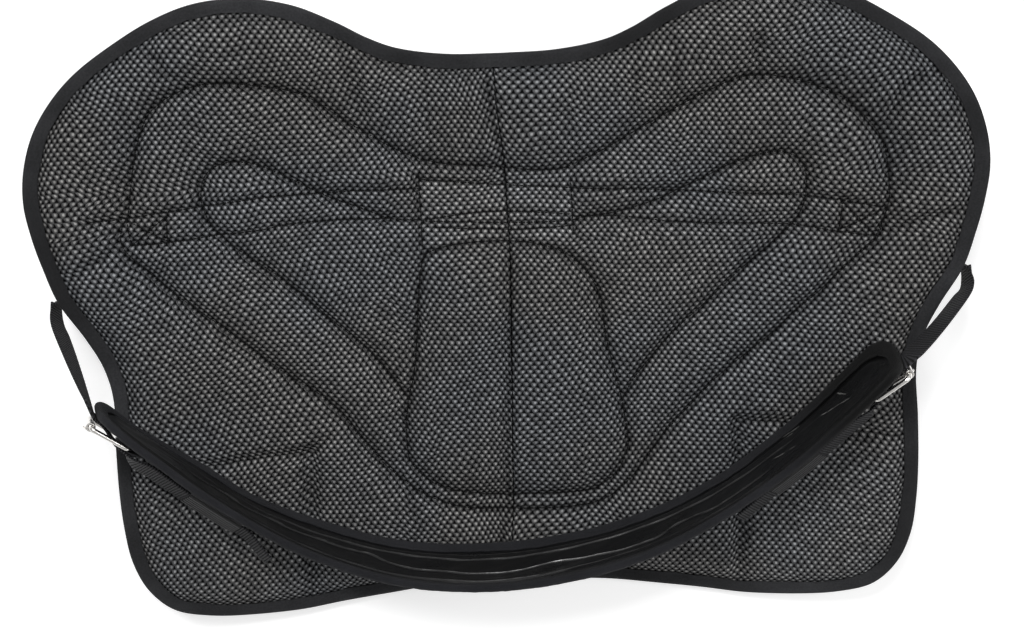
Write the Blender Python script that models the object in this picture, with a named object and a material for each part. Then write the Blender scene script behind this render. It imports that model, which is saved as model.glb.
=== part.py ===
"""Neoprene saddle pad with its girth, lying upside down.

The rider side faces the ground and the textured underside faces up.  The girth is
folded over the rear half of the pad on its two webbing billets.

Frame: +Z up, +Y to the front of the pad, X across.  The origin is the point of the
spine where the flat seat overlay rests on the ground.  All sizes are in metres.
"""
import math

import bmesh
import bpy
from mathutils import Matrix, Vector
from mathutils.geometry import delaunay_2d_cdt

GAP = 0.0003

# Right half of the pad's outline, from the front end of the spine to its rear end.
PAD_OUTLINE = [
    (0.000, 0.227), (0.045, 0.228), (0.085, 0.234), (0.112, 0.244), (0.140, 0.259),
    (0.175, 0.274), (0.215, 0.281), (0.255, 0.278), (0.291, 0.265), (0.325, 0.245),
    (0.352, 0.225), (0.372, 0.203), (0.387, 0.178), (0.396, 0.150), (0.399, 0.122),
    (0.396, 0.094), (0.390, 0.066), (0.381, 0.035), (0.364, 0.003), (0.352, -0.025),
    (0.347, -0.055), (0.349, -0.095), (0.350, -0.135), (0.349, -0.170), (0.345, -0.203),
    (0.334, -0.232), (0.314, -0.254), (0.285, -0.264), (0.250, -0.268), (0.205, -0.268),
    (0.165, -0.263), (0.125, -0.258), (0.080, -0.252), (0.040, -0.250), (0.000, -0.249),
]
EDGE_STEP = 0.025

# The pad lies flat under the seat and both sides curve up from there.
FLAT_HALF = 0.110
BEND_R = 0.720

# Layers, from the ground up.
SEAT_T = 0.0033
COVER_T = 0.0040
FOAM_T = 0.0121
UNDERSIDE_T = 0.0030
STRAP_T = 0.0016
PATCH_T = 0.0008
TAB_T = 0.0020
EDGE_LIFT = 0.0012
EDGE_COVER_T = 0.0024
EDGE_UNDERSIDE_T = 0.0025
SPINE_GAP = 0.0003

# Binding tape folded round the pad's edge.
TAPE_T = 0.0010
TAPE_W = 0.0120
TAPE_CLEAR = 0.0007
TAPE_EASE = 0.0005

# Quilting: half width of a sewn channel, and of the shallow one over the strap.
CHANNEL_W = 0.026
EDGE_CHANNEL_W = 0.030
STRAP_CHANNEL_W = 0.012
STRAP_CHANNEL_DEPTH = 0.35
SHOULDER = 0.010
LINE_STEP = 0.028
FILL_STEP = 0.040

# Sewn lines of the right half; the left half mirrors them.
LOBE_LINE = [
    (0.000, 0.130), (0.050, 0.133), (0.100, 0.157), (0.148, 0.186), (0.190, 0.203),
    (0.228, 0.206), (0.265, 0.198), (0.295, 0.178), (0.314, 0.148), (0.321, 0.108),
    (0.317, 0.064),
]
LOWER_LINE = [
    (0.317, 0.064), (0.280, 0.031), (0.243, -0.002), (0.195, -0.052), (0.148, -0.097),
    (0.108, -0.136), (0.076, -0.157), (0.040, -0.167), (0.000, -0.168),
]
THIGH_LINE = [(0.248, 0.078), (0.200, 0.037), (0.150, -0.004), (0.112, -0.046), (0.092, -0.064)]
SEAT_LINE = [
    (0.000, 0.062), (0.040, 0.062), (0.074, 0.060), (0.084, 0.000), (0.092, -0.064),
    (0.091, -0.110), (0.084, -0.142), (0.076, -0.157),
]
WING_LINE = [
    (0.000, 0.105), (0.066, 0.105), (0.105, 0.092), (0.132, 0.103), (0.164, 0.121),
    (0.196, 0.138), (0.227, 0.144), (0.249, 0.131), (0.259, 0.108), (0.248, 0.078),
]
WING_TO_EDGE = [(0.258, 0.092), (0.290, 0.090), (0.320, 0.090)]
PATCH_SIDE = [(0.066, 0.105), (0.068, 0.062)]
REAR_LINE = [(0.195, -0.262), (0.195, -0.190), (0.193, -0.112)]
REAR_CROSS = [(0.193, -0.112), (0.240, -0.112), (0.290, -0.113), (0.340, -0.117)]
REAR_LINK = [(0.193, -0.112), (0.176, -0.072)]
SIDE_DART = [(0.319, 0.078), (0.345, 0.074), (0.372, 0.070)]

# Webbing strap across the rider side; the patch and the tabs sewn there.
STRAP_W = 0.025
STRAP_PLACE = [(-0.317, 0.093), (0.000, 0.090), (0.317, 0.078)]
PATCH_HALF = 0.066
PATCH_FRONT = 0.121
PATCH_REAR = 0.062
SEAT_HALF_FRONT = 0.070
SEAT_HALF_REAR = 0.088
SEAT_FRONT = 0.056
SEAT_REAR = -0.152
SEAT_CORNER = 0.022
TAB_X = 0.1325
TAB_HALF = 0.0145
TAB_REAR = 0.178
TAB_FRONT = 0.233

# The webbing leaves the pad and hinges here (right side; the left mirrors it).
HINGE_X = 0.3855
HINGE_Y = 0.034
HINGE_Z = 0.040
HINGE_LEAD = 0.0020

# Girth: lower edge on the pad and upper edge in plan, from its left end to its right.
GIRTH_W = 0.078
GIRTH_LOWER = [
    (-0.356, -0.045), (-0.325, -0.079), (-0.281, -0.113), (-0.235, -0.150), (-0.176, -0.179),
    (-0.108, -0.201), (-0.031, -0.207), (0.047, -0.200), (0.114, -0.182), (0.174, -0.153),
    (0.226, -0.113), (0.265, -0.076), (0.294, -0.044), (0.318, -0.019),
]
GIRTH_UPPER = [
    (-0.334, -0.039), (-0.305, -0.074), (-0.265, -0.114), (-0.220, -0.151), (-0.169, -0.184),
    (-0.104, -0.209), (-0.030, -0.218), (0.045, -0.211), (0.112, -0.192), (0.171, -0.160),
    (0.222, -0.123), (0.260, -0.088), (0.289, -0.058), (0.311, -0.032),
]
GIRTH_LIFT = 0.0020
GIRTH_BOW = [(0.050, 0.003), (0.110, 0.006), (0.250, 0.009)]
GIRTH_STEP = 0.025
GIRTH_CORNER = 0.020
LINER_EDGE_T = 0.0015
LINER_PUFF = 0.0030
LINER_CHANNEL_W = 0.012
GIRTH_COVER_T = 0.0015
GIRTH_TAPE_T = 0.0010
GIRTH_TAPE_W = 0.0110
WEB_T = 0.0014
WEB_W = 0.025
WEB_LEG = 0.025
WEB_STEP = 0.020
WEB_EASE = 0.0005

# Roller buckle.  Its heel bar lies in the web's end loop, its roller near the girth's end.
HEEL_D = 0.038
ROLLER_D = 0.0043
ROLLER_N = 0.0118
WIRE_R = 0.0020
FRAME_HALF = 0.0165
FRAME_CORNER = 0.0045
ROLLER_R = 0.0039
TONGUE_T = 0.0013
TONGUE_W = 0.0050
SLOT_HALF = 0.0040

# Billet: the webbing's free end, through the buckle and back along the girth.
BILLET_T = 0.0018
BILLET_END = 0.190
BILLET_SLACK = 0.0010
BILLET_BEND = 0.0025
BILLET_TILT = {"left": math.radians(33), "right": math.radians(40)}
TAIL_DROOP = {"left": 0.014, "right": 0.003}
KEEPER_START = 0.104
KEEPER_L = 0.050
KEEPER_T = 0.0008

# Heights of the layers above the curved ground surface.
COVER_LOW = SEAT_T + GAP
COVER_HIGH = COVER_LOW + COVER_T
UNDER_LOW = COVER_HIGH + GAP
PAD_HIGH = UNDER_LOW + FOAM_T + GAP + UNDERSIDE_T
EDGE_LOW = COVER_LOW + EDGE_LIFT
EDGE_MID = EDGE_LOW + EDGE_COVER_T
EDGE_HIGH = EDGE_MID + GAP + EDGE_UNDERSIDE_T
WEB_N = GIRTH_COVER_T + WEB_EASE + WEB_T / 2
WRAP_R = WIRE_R + GAP + WEB_T / 2
HEEL_N = WEB_N + WRAP_R


def clear_scene():
    for obj in list(bpy.data.objects):
        bpy.data.objects.remove(obj, do_unlink=True)


def material(name, colour, roughness, metallic=0.0):
    mat = bpy.data.materials.new(name)
    mat.use_nodes = True
    shader = mat.node_tree.nodes["Principled BSDF"]
    shader.inputs["Base Color"].default_value = (*colour, 1.0)
    shader.inputs["Roughness"].default_value = roughness
    shader.inputs["Metallic"].default_value = metallic
    mat.diffuse_color = (*colour, 1.0)
    return mat


def add_piece(name, verts, faces, mat, origin=(0, 0, 0), smooth=False):
    """Make one closed solid whose object origin is at the given point."""
    origin = Vector(origin)
    mesh = bpy.data.meshes.new(name)
    mesh.from_pydata([Vector(v) - origin for v in verts], [], faces)
    bm = bmesh.new()
    bm.from_mesh(mesh)
    bmesh.ops.recalc_face_normals(bm, faces=bm.faces)
    bmesh.ops.triangulate(bm, faces=[f for f in bm.faces if len(f.verts) > 4])
    bm.to_mesh(mesh)
    bm.free()
    mesh.materials.append(mat)
    if smooth:
        mesh.shade_smooth()
        mesh.set_sharp_from_angle(angle=math.radians(35))
    obj = bpy.data.objects.new(name, mesh)
    obj.location = origin
    bpy.context.collection.objects.link(obj)
    return obj


def catmull(points, count):
    """Smooth open curve through the points, with count spans between each pair."""
    pts = [Vector(p) for p in points]
    pts = [2 * pts[0] - pts[1]] + pts + [2 * pts[-1] - pts[-2]]
    out = []
    for i in range(1, len(pts) - 2):
        p0, p1, p2, p3 = pts[i - 1:i + 3]
        for k in range(count):
            t = k / count
            out.append(0.5 * (2 * p1 + (p2 - p0) * t + (2 * p0 - 5 * p1 + 4 * p2 - p3) * t ** 2
                              + (3 * p1 - p0 - 3 * p2 + p3) * t ** 3))
    return out + [pts[-2]]


def resample(points, step, closed=False):
    """Points an even distance apart along a polyline; a closed one gets an even count."""
    pts = list(points) + ([points[0]] if closed else [])
    total = [0.0]
    for a, b in zip(pts, pts[1:]):
        total.append(total[-1] + (b - a).length)
    count = max(1, round(total[-1] / step))
    if closed:
        count += count % 2
    out = []
    seg = 0
    for i in range(count if closed else count + 1):
        want = total[-1] * i / count
        while seg < len(pts) - 2 and total[seg + 1] < want:
            seg += 1
        t = (want - total[seg]) / max(total[seg + 1] - total[seg], 1e-9)
        out.append(pts[seg].lerp(pts[seg + 1], min(max(t, 0.0), 1.0)))
    return out


def inset_loop(loop, amount):
    """Move a counter-clockwise loop inwards."""
    out = []
    for i, p in enumerate(loop):
        along = (loop[(i + 1) % len(loop)] - loop[i - 1]).normalized()
        out.append(p + Vector((-along.y, along.x)) * amount)
    return out


def distance(p, line):
    best = 1e9
    for a, b in zip(line, line[1:]):
        ab = b - a
        t = max(0.0, min(1.0, (p - a).dot(ab) / max(ab.length_squared, 1e-12)))
        best = min(best, (p - a - ab * t).length)
    return best


def plan_mesh(edge, ring, sewn, shallow, shoulder, fill_step, flat=None):
    """Triangles inside the edge loop that follow the ring and the sewn lines.

    Returns the plan points, the triangles and, for each point, "edge", "ring",
    "sewn" or "free".
    """
    points = list(edge) + list(ring)
    kinds = ["edge"] * len(edge) + ["ring"] * len(ring)
    n = len(edge)
    links = [(i, (i + 1) % n) for i in range(n)]
    links += [(n + i, n + (i + 1) % n) for i in range(n)]
    links += [(i, n + i) for i in range(n)]
    closed_ring = list(ring) + [ring[0]]
    snap = LINE_STEP * 0.27

    def inside(p, margin):
        turns = 0
        for a, b in zip(closed_ring, closed_ring[1:]):
            if (a.y > p.y) != (b.y > p.y):
                if p.x < a.x + (p.y - a.y) * (b.x - a.x) / (b.y - a.y):
                    turns += 1
        return turns % 2 == 1 and distance(p, closed_ring) > margin

    def near(p, reach):
        best = None
        for i, q in enumerate(points):
            if (q - p).length < reach:
                reach = (q - p).length
                best = i
        return best

    def add_line(line, kind):
        last = None
        for p in line:
            if not inside(p, 0.0):
                last = None
                continue
            i = near(p, snap)
            if i is None:
                points.append(p.copy())
                kinds.append(kind)
                i = len(points) - 1
            elif kind == "sewn" and kinds[i] == "free":
                kinds[i] = "sewn"
            if last is not None and last != i and (last, i) not in links and (i, last) not in links:
                links.append((last, i))
            last = i

    for line in sewn:
        add_line(line, "sewn")
    for line in shallow:
        add_line(line, "free")
    for line in sewn:
        for a, b in zip(line, line[1:]):
            side = (b - a).normalized()
            for sign in (-1, 1):
                p = (a + b) / 2 + Vector((-side.y, side.x)) * shoulder * sign
                if inside(p, shoulder * 0.8) and near(p, shoulder * 0.8) is None:
                    if min(distance(p, other) for other in sewn) > shoulder * 0.75:
                        points.append(p)
                        kinds.append("free")
    for p in inset_loop(ring, shoulder):
        if inside(p, shoulder * 0.8) and near(p, shoulder * 0.7) is None:
            points.append(p)
            kinds.append("free")
    low = [min(p[k] for p in ring) for k in (0, 1)]
    high = [max(p[k] for p in ring) for k in (0, 1)]
    rows = int((high[1] - low[1]) / (fill_step * 0.87)) + 1
    cols = int((high[0] - low[0]) / fill_step) + 2
    for r in range(rows):
        for c in range(cols):
            p = Vector((low[0] + (c + 0.5 * (r % 2)) * fill_step, low[1] + (r + 0.5) * fill_step * 0.87))
            if inside(p, fill_step * 0.4) and near(p, fill_step * 0.55) is None:
                points.append(p)
                kinds.append("free")
    face = list(range(n))
    out = delaunay_2d_cdt([Vector(p[:2]) for p in points], links, [face], 1, 1e-6)
    verts = [Vector(v) for v in out[0]]
    tags = []
    for v, origin in zip(verts, out[3]):
        if origin:
            tags.append(kinds[min(origin)])
        else:
            tags.append("sewn" if min(distance(v, s) for s in sewn) < snap else "free")
    if flat:
        for i, v in enumerate(verts):
            if tags[i] == "free" and flat(v):
                tags[i] = "sewn"
    tris = []
    for tri in out[2]:
        a, b, c = (verts[i] for i in tri)
        turn = (b - a).cross(c - a)
        if abs(turn) < 1e-8:
            continue
        tris.append(tuple(tri) if turn > 0 else (tri[0], tri[2], tri[1]))
    return verts, tris, tags


def shell(polys, upper, lower):
    """Closed solid between an upper and a lower copy of the same polygons."""
    used = sorted({i for poly in polys for i in poly})
    index = {v: k for k, v in enumerate(used)}
    n = len(used)
    verts = [lower[v] for v in used] + [upper[v] for v in used]
    faces = []
    rims = set()
    for poly in polys:
        ids = [index[v] for v in poly]
        faces.append([i + n for i in ids])
        faces.append(ids[::-1])
        for a, b in zip(ids, ids[1:] + ids[:1]):
            rims.add((a, b))
    for a, b in rims:
        if (b, a) not in rims:
            faces.append([a, b, b + n, a + n])
    return verts, faces


def strip(rows, thickness, skip=()):
    """Closed band through rows of points; skip names (row, column) cells left open."""
    cols = len(rows[0])
    upper, lower = [], []
    for i, row in enumerate(rows):
        ahead = rows[min(i + 1, len(rows) - 1)]
        behind = rows[max(i - 1, 0)]
        along = (ahead[0] + ahead[-1]) - (behind[0] + behind[-1])
        normal = along.cross(row[-1] - row[0]).normalized() * (thickness / 2)
        upper += [p + normal for p in row]
        lower += [p - normal for p in row]
    polys = []
    for i in range(len(rows) - 1):
        for j in range(cols - 1):
            if (i, j) not in skip:
                a = i * cols + j
                polys.append((a, a + cols, a + cols + 1, a + 1))
    return shell(polys, upper, lower)


def tape(loop, put, low, high, width, thick):
    """Tape folded round an edge: a U section swept along the closed loop."""
    inner = thick
    profile = [
        (width, low - TAPE_EASE), (inner, low - TAPE_EASE),
        (inner, high + TAPE_EASE), (width, high + TAPE_EASE),
        (width, high + TAPE_EASE + thick), (thick * 1.5, high + TAPE_EASE + thick), (0.0, high),
        (0.0, low), (thick * 1.5, low - TAPE_EASE - thick), (width, low - TAPE_EASE - thick),
    ]
    k = len(profile)
    verts, faces = [], []
    n = len(loop)
    for i, p in enumerate(loop):
        along = (loop[(i + 1) % n] - loop[i - 1]).normalized()
        inward = Vector((-along.y, along.x))
        for e, h in profile:
            q = p + inward * e
            verts.append(put(q.x, q.y, h))
    for i in range(n):
        for j in range(k):
            a, b = i * k + j, i * k + (j + 1) % k
            c, d = ((i + 1) % n) * k + (j + 1) % k, ((i + 1) % n) * k + j
            faces.append([a, b, c, d])
    return verts, faces


def rounded_box(x0, x1, y0, y1, radius, corner_points, step):
    """Counter-clockwise rectangle with round corners, sampled along its sides."""
    loop = []
    corners = [(x1 - radius, y0 + radius, -90), (x1 - radius, y1 - radius, 0),
               (x0 + radius, y1 - radius, 90), (x0 + radius, y0 + radius, 180)]
    for i, (cx, cy, start) in enumerate(corners):
        for k in range(corner_points + 1):
            a = math.radians(start + 90 * k / corner_points)
            loop.append(Vector((cx + radius * math.cos(a), cy + radius * math.sin(a))))
        nx, ny, turn = corners[(i + 1) % 4]
        a = math.radians(turn)
        end = Vector((nx + radius * math.cos(a), ny + radius * math.sin(a)))
        start_point = loop[-1].copy()
        spans = max(1, round((end - start_point).length / step))
        for k in range(1, spans):
            loop.append(start_point.lerp(end, k / spans))
    return loop


def ground(x):
    """Height of the curved surface under the pad."""
    over = abs(x) - FLAT_HALF
    if over <= 0:
        return 0.0
    return BEND_R - math.sqrt(BEND_R ** 2 - over ** 2)


def on_pad(x, y, h):
    return Vector((x, y, ground(x) + h))


def mirror(line):
    return [Vector((-p.x, p.y)) for p in line]


def strap_y(x):
    """Middle of the strap across the pad."""
    (x0, y0), (x1, y1), (x2, y2) = STRAP_PLACE
    if x < x1:
        return y1 + (y0 - y1) * (x - x1) / (x0 - x1)
    return y1 + (y2 - y1) * (x - x1) / (x2 - x1)


def channel(d, width):
    return max(0.0, 1.0 - d / width) ** 2


def build_pad(mats):
    right = catmull(PAD_OUTLINE, 12)
    outline = mirror(right) + right[-2:0:-1]
    outer = resample(outline, EDGE_STEP, closed=True)
    sheet_edge = inset_loop(outer, TAPE_T + GAP)
    ring = inset_loop(outer, TAPE_W + TAPE_CLEAR)

    halves = [LOBE_LINE, LOWER_LINE, THIGH_LINE, SEAT_LINE, WING_LINE, WING_TO_EDGE,
              PATCH_SIDE, REAR_LINE, REAR_CROSS, REAR_LINK, SIDE_DART]
    spine = [Vector((0.0, -0.249)), Vector((0.0, 0.227))]
    sewn = [resample(spine, LINE_STEP)]
    for half in halves:
        line = resample(catmull(half, 8), LINE_STEP)
        sewn += [line, mirror(line)]
    reach = STRAP_PLACE[2][0]
    shallow = []
    for side in (-0.5, 0.5):
        run = [Vector((x, strap_y(x) + side * STRAP_W)) for x in (-reach, 0.0, reach)]
        shallow.append(resample(run, LINE_STEP * 1.3))

    def in_patch(v):
        return abs(v.x) < PATCH_HALF and PATCH_REAR < v.y < WING_LINE[0][1]

    verts, tris, tags = plan_mesh(sheet_edge, ring, sewn, shallow, SHOULDER, FILL_STEP, in_patch)
    closed_ring = ring + [ring[0]]
    heights = []
    for v, tag in zip(verts, tags):
        if tag in ("edge", "ring"):
            heights.append((EDGE_LOW, EDGE_MID, EDGE_MID + GAP, EDGE_HIGH))
            continue
        puff = 0.0
        if tag == "free":
            cut = max(channel(distance(v, line), CHANNEL_W) for line in sewn)
            cut = max(cut, channel(distance(v, closed_ring), EDGE_CHANNEL_W))
            cut = max(cut, STRAP_CHANNEL_DEPTH
                      * max(channel(distance(v, line), STRAP_CHANNEL_W) for line in shallow))
            puff = 1.0 - cut
        low = UNDER_LOW + puff * (FOAM_T + GAP)
        heights.append((COVER_LOW, COVER_HIGH, low, low + UNDERSIDE_T))

    def level(k, shift=0.0):
        return [on_pad(v.x, v.y, h[k] + shift) for v, h in zip(verts, heights)]

    add_piece("top_cover", *shell(tris, level(1), level(0)), mats["neoprene"])

    for name, sign in (("left", -1), ("right", 1)):
        half = [t for t in tris if sum(verts[i].x for i in t) * sign > 0]
        shift = Vector((sign * SPINE_GAP / 2, 0, 0))
        upper, lower = level(3), level(2)
        for i, v in enumerate(verts):
            if abs(v.x) < 1e-5:
                upper[i] = upper[i] + shift
                lower[i] = lower[i] + shift
        add_piece("underside_" + name, *shell(half, upper, lower), mats["grip_weave"], smooth=True)

    cells = {
        "front_border": (0.205, 0.240), "side": (0.312, -0.030), "rear_corner": (0.270, -0.190),
        "rear_middle": (0.110, -0.210), "band": (0.185, -0.005), "upper_wing": (0.150, 0.155),
        "wing": (0.205, 0.085), "seat": (0.042, -0.050),
    }
    open_tris = [t for t in tris if all(tags[i] == "free" for i in t)]
    edge_of = {}
    for k, t in enumerate(open_tris):
        for a, b in zip(t, t[1:] + t[:1]):
            edge_of[(a, b)] = k
    foam_low = [on_pad(v.x, v.y, UNDER_LOW) for v in verts]
    foam_high = level(2, -GAP)
    for cell, seed in cells.items():
        for name, sign in (("left", -1), ("right", 1)):
            goal = Vector((seed[0] * sign, seed[1]))
            start = min(range(len(open_tris)), key=lambda k: (
                sum((verts[i] for i in open_tris[k]), Vector((0, 0))) / 3 - goal).length)
            group, queue = {start}, [start]
            while queue:
                t = open_tris[queue.pop()]
                for a, b in zip(t, t[1:] + t[:1]):
                    other = edge_of.get((b, a))
                    if other is not None and other not in group:
                        group.add(other)
                        queue.append(other)
            chosen = trim_pinches([open_tris[k] for k in group])
            add_piece("foam_%s_%s" % (cell, name), *shell(chosen, foam_high, foam_low), mats["foam"])

    add_piece("edge_binding", *tape(outer, on_pad, EDGE_LOW, EDGE_HIGH, TAPE_W, TAPE_T),
              mats["tape"], smooth=True)


def trim_pinches(tris):
    """Drop triangles that hang on by one corner, so that the cell is one clean body."""
    while True:
        at = {}
        for t in tris:
            for i in t:
                at.setdefault(i, []).append(t)
        bad = None
        for i, fans in at.items():
            rest = list(fans)
            groups = []
            while rest:
                group = [rest.pop()]
                grew = True
                while grew:
                    grew = False
                    for t in list(rest):
                        if any(len(set(t) & set(g)) > 1 for g in group):
                            group.append(t)
                            rest.remove(t)
                            grew = True
                groups.append(group)
            if len(groups) > 1:
                bad = min(groups, key=len)
                break
        if bad is None:
            break
        tris = [t for t in tris if t not in bad]
    parts = []
    rest = set(tris)
    while rest:
        group = {rest.pop()}
        queue = list(group)
        while queue:
            t = queue.pop()
            for other in [o for o in rest if len(set(o) & set(t)) > 1]:
                rest.remove(other)
                group.add(other)
                queue.append(other)
        parts.append(group)
    return list(max(parts, key=len))


def plate(points, low, high, put=on_pad):
    """Flat piece with the given plan outline."""
    n = len(points)
    upper = [put(p.x, p.y, high) for p in points]
    lower = [put(p.x, p.y, low) for p in points]
    return shell([tuple(range(n))], upper, lower)


def build_rider_side(mats):
    seat = []
    for x, y in ((SEAT_HALF_REAR, SEAT_REAR), (SEAT_HALF_FRONT, SEAT_FRONT),
                 (-SEAT_HALF_FRONT, SEAT_FRONT), (-SEAT_HALF_REAR, SEAT_REAR)):
        seat.append(Vector((x, y)))
    loop = []
    for i, p in enumerate(seat):
        back = (seat[i - 1] - p).normalized() * SEAT_CORNER
        ahead = (seat[(i + 1) % 4] - p).normalized() * SEAT_CORNER
        for k in range(7):
            t = k / 6
            loop.append(p + back * (1 - t) ** 2 + ahead * t ** 2)
    add_piece("seat_panel", *plate(loop, 0.0, SEAT_T), mats["suede"])

    strap_high = COVER_LOW - GAP
    strap_low = strap_high - STRAP_T
    patch = [Vector(p) for p in ((PATCH_HALF, PATCH_REAR), (PATCH_HALF, PATCH_FRONT),
                                 (-PATCH_HALF, PATCH_FRONT), (-PATCH_HALF, PATCH_REAR))]
    add_piece("rigging_patch", *plate(patch, strap_low - GAP - PATCH_T, strap_low - GAP),
              mats["webbing"])
    for name, sign in (("left", -1), ("right", 1)):
        tab = [Vector((sign * TAB_X + a * TAB_HALF, y)) for a, y in
               ((1, TAB_REAR), (1, TAB_FRONT), (-1, TAB_FRONT), (-1, TAB_REAR))]
        add_piece("front_tab_" + name, *plate(tab, COVER_LOW - GAP - TAB_T, COVER_LOW - GAP),
                  mats["webbing"])

    # The strap: flat under the pad, then turned on edge as it leaves below the edge.
    mid_h = (strap_low + strap_high) / 2
    reach = STRAP_PLACE[2][0]
    rows = []
    spans = round(2 * reach / EDGE_STEP)
    centre = []
    for i in range(spans + 1):
        x = -reach + 2 * reach * i / spans
        centre.append((Vector((x, strap_y(x), ground(x) + mid_h)), 0.0))
    tail_shape = [(0.26, 0.24, 0.0012, 20), (0.50, 0.50, 0.0018, 50), (0.72, 0.76, 0.0036, 80),
                  (0.885, 0.93, 0.0058, 90), (1.0, 1.0, 0.0067, 90)]

    def tail(sign):
        out = []
        y0 = strap_y(sign * reach)
        z0 = ground(reach) + mid_h
        end = Vector((HINGE_X - GAP, HINGE_Y, HINGE_Z))
        for fx, fy, dz, turn in tail_shape:
            p = Vector((sign * (reach + (end.x - reach) * fx), y0 + (end.y - y0) * fy, z0 + dz))
            if fx == 1.0:
                p.z = end.z
                out.append((p - Vector((sign * HINGE_LEAD, 0, 0)), math.radians(turn)))
            out.append((p, math.radians(turn)))
        return out

    line = [(p, -t) for p, t in tail(-1)[::-1]] + centre + tail(1)
    for i, (p, turn) in enumerate(line):
        ahead = line[min(i + 1, len(line) - 1)][0]
        behind = line[max(i - 1, 0)][0]
        along = (ahead - behind).normalized()
        if i in (0, len(line) - 1):
            along = Vector((1, 0, 0))
        elif i in (1, len(line) - 2):
            along = Vector((along.x, along.y, 0.0)).normalized()
        flat_side = Vector((0, 0, 1)).cross(along).normalized()
        up = along.cross(flat_side).normalized()
        wide = (flat_side * math.cos(turn) + up * math.sin(abs(turn))) * STRAP_W / 2
        row = [p - wide, p + wide]
        if turn == 0.0:
            row = [on_pad(q.x, q.y, mid_h) for q in row]
        rows.append(row)
    add_piece("rigging_strap", *strip(rows, STRAP_T), mats["webbing"])


def blend(knots, x):
    """Smooth value through (x, value) knots."""
    if x <= knots[0][0]:
        return knots[0][1]
    for (x0, v0), (x1, v1) in zip(knots, knots[1:]):
        if x <= x1:
            t = (x - x0) / (x1 - x0)
            return v0 + (v1 - v0) * t * t * (3 - 2 * t)
    return knots[-1][1]


class Girth:
    """The girth's curved, leaning surface: s along it, w across it, n outwards."""

    def __init__(self):
        low = catmull([Vector(p) for p in GIRTH_LOWER], 10)
        high = catmull([Vector(p) for p in GIRTH_UPPER], 10)
        feet = [on_pad(a.x, a.y, PAD_HIGH + GAP + GIRTH_LIFT) for a in low]
        self.mid, self.wide = [], []
        for i, (a, b) in enumerate(zip(low, high)):
            lean = b - a
            rise = math.sqrt(GIRTH_W ** 2 - lean.length_squared)
            along = (feet[min(i + 1, len(feet) - 1)] - feet[max(i - 1, 0)]).normalized()
            across = Vector((lean.x, lean.y, rise))
            across = (across - along * across.dot(along)).normalized()
            self.mid.append(feet[i] + across * GIRTH_W / 2)
            self.wide.append(across)
        self.at = [0.0]
        for a, b in zip(self.mid, self.mid[1:]):
            self.at.append(self.at[-1] + (b - a).length)
        self.length = self.at[-1]

    def frame(self, s):
        inside = min(max(s, 0.0), self.length)
        i = 0
        while i < len(self.at) - 2 and self.at[i + 1] < inside:
            i += 1
        t = (inside - self.at[i]) / (self.at[i + 1] - self.at[i])
        point = self.mid[i].lerp(self.mid[i + 1], t)
        wide = self.wide[i].lerp(self.wide[i + 1], t).normalized()
        a = self.mid[max(i - 1, 0)].lerp(self.mid[i], t if i > 0 else 0.0)
        b = self.mid[i + 1].lerp(self.mid[min(i + 2, len(self.mid) - 1)], t)
        along = (b - a).normalized()
        along = (along - wide * along.dot(wide)).normalized()
        out = along.cross(wide).normalized()
        return point + along * (s - inside) + out * blend(GIRTH_BOW, s), along, wide, out

    def put(self, s, w, n):
        """Point on the girth, whose section is bowed outwards in the middle."""
        point, along, wide, out = self.frame(s)
        bow = blend(GIRTH_BOW, s)
        q = 2 * w / GIRTH_W - 1
        slope = -4 * bow / GIRTH_W * q
        normal = (out - wide * slope).normalized()
        return point + wide * q * GIRTH_W / 2 - out * bow * q * q + normal * n


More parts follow.
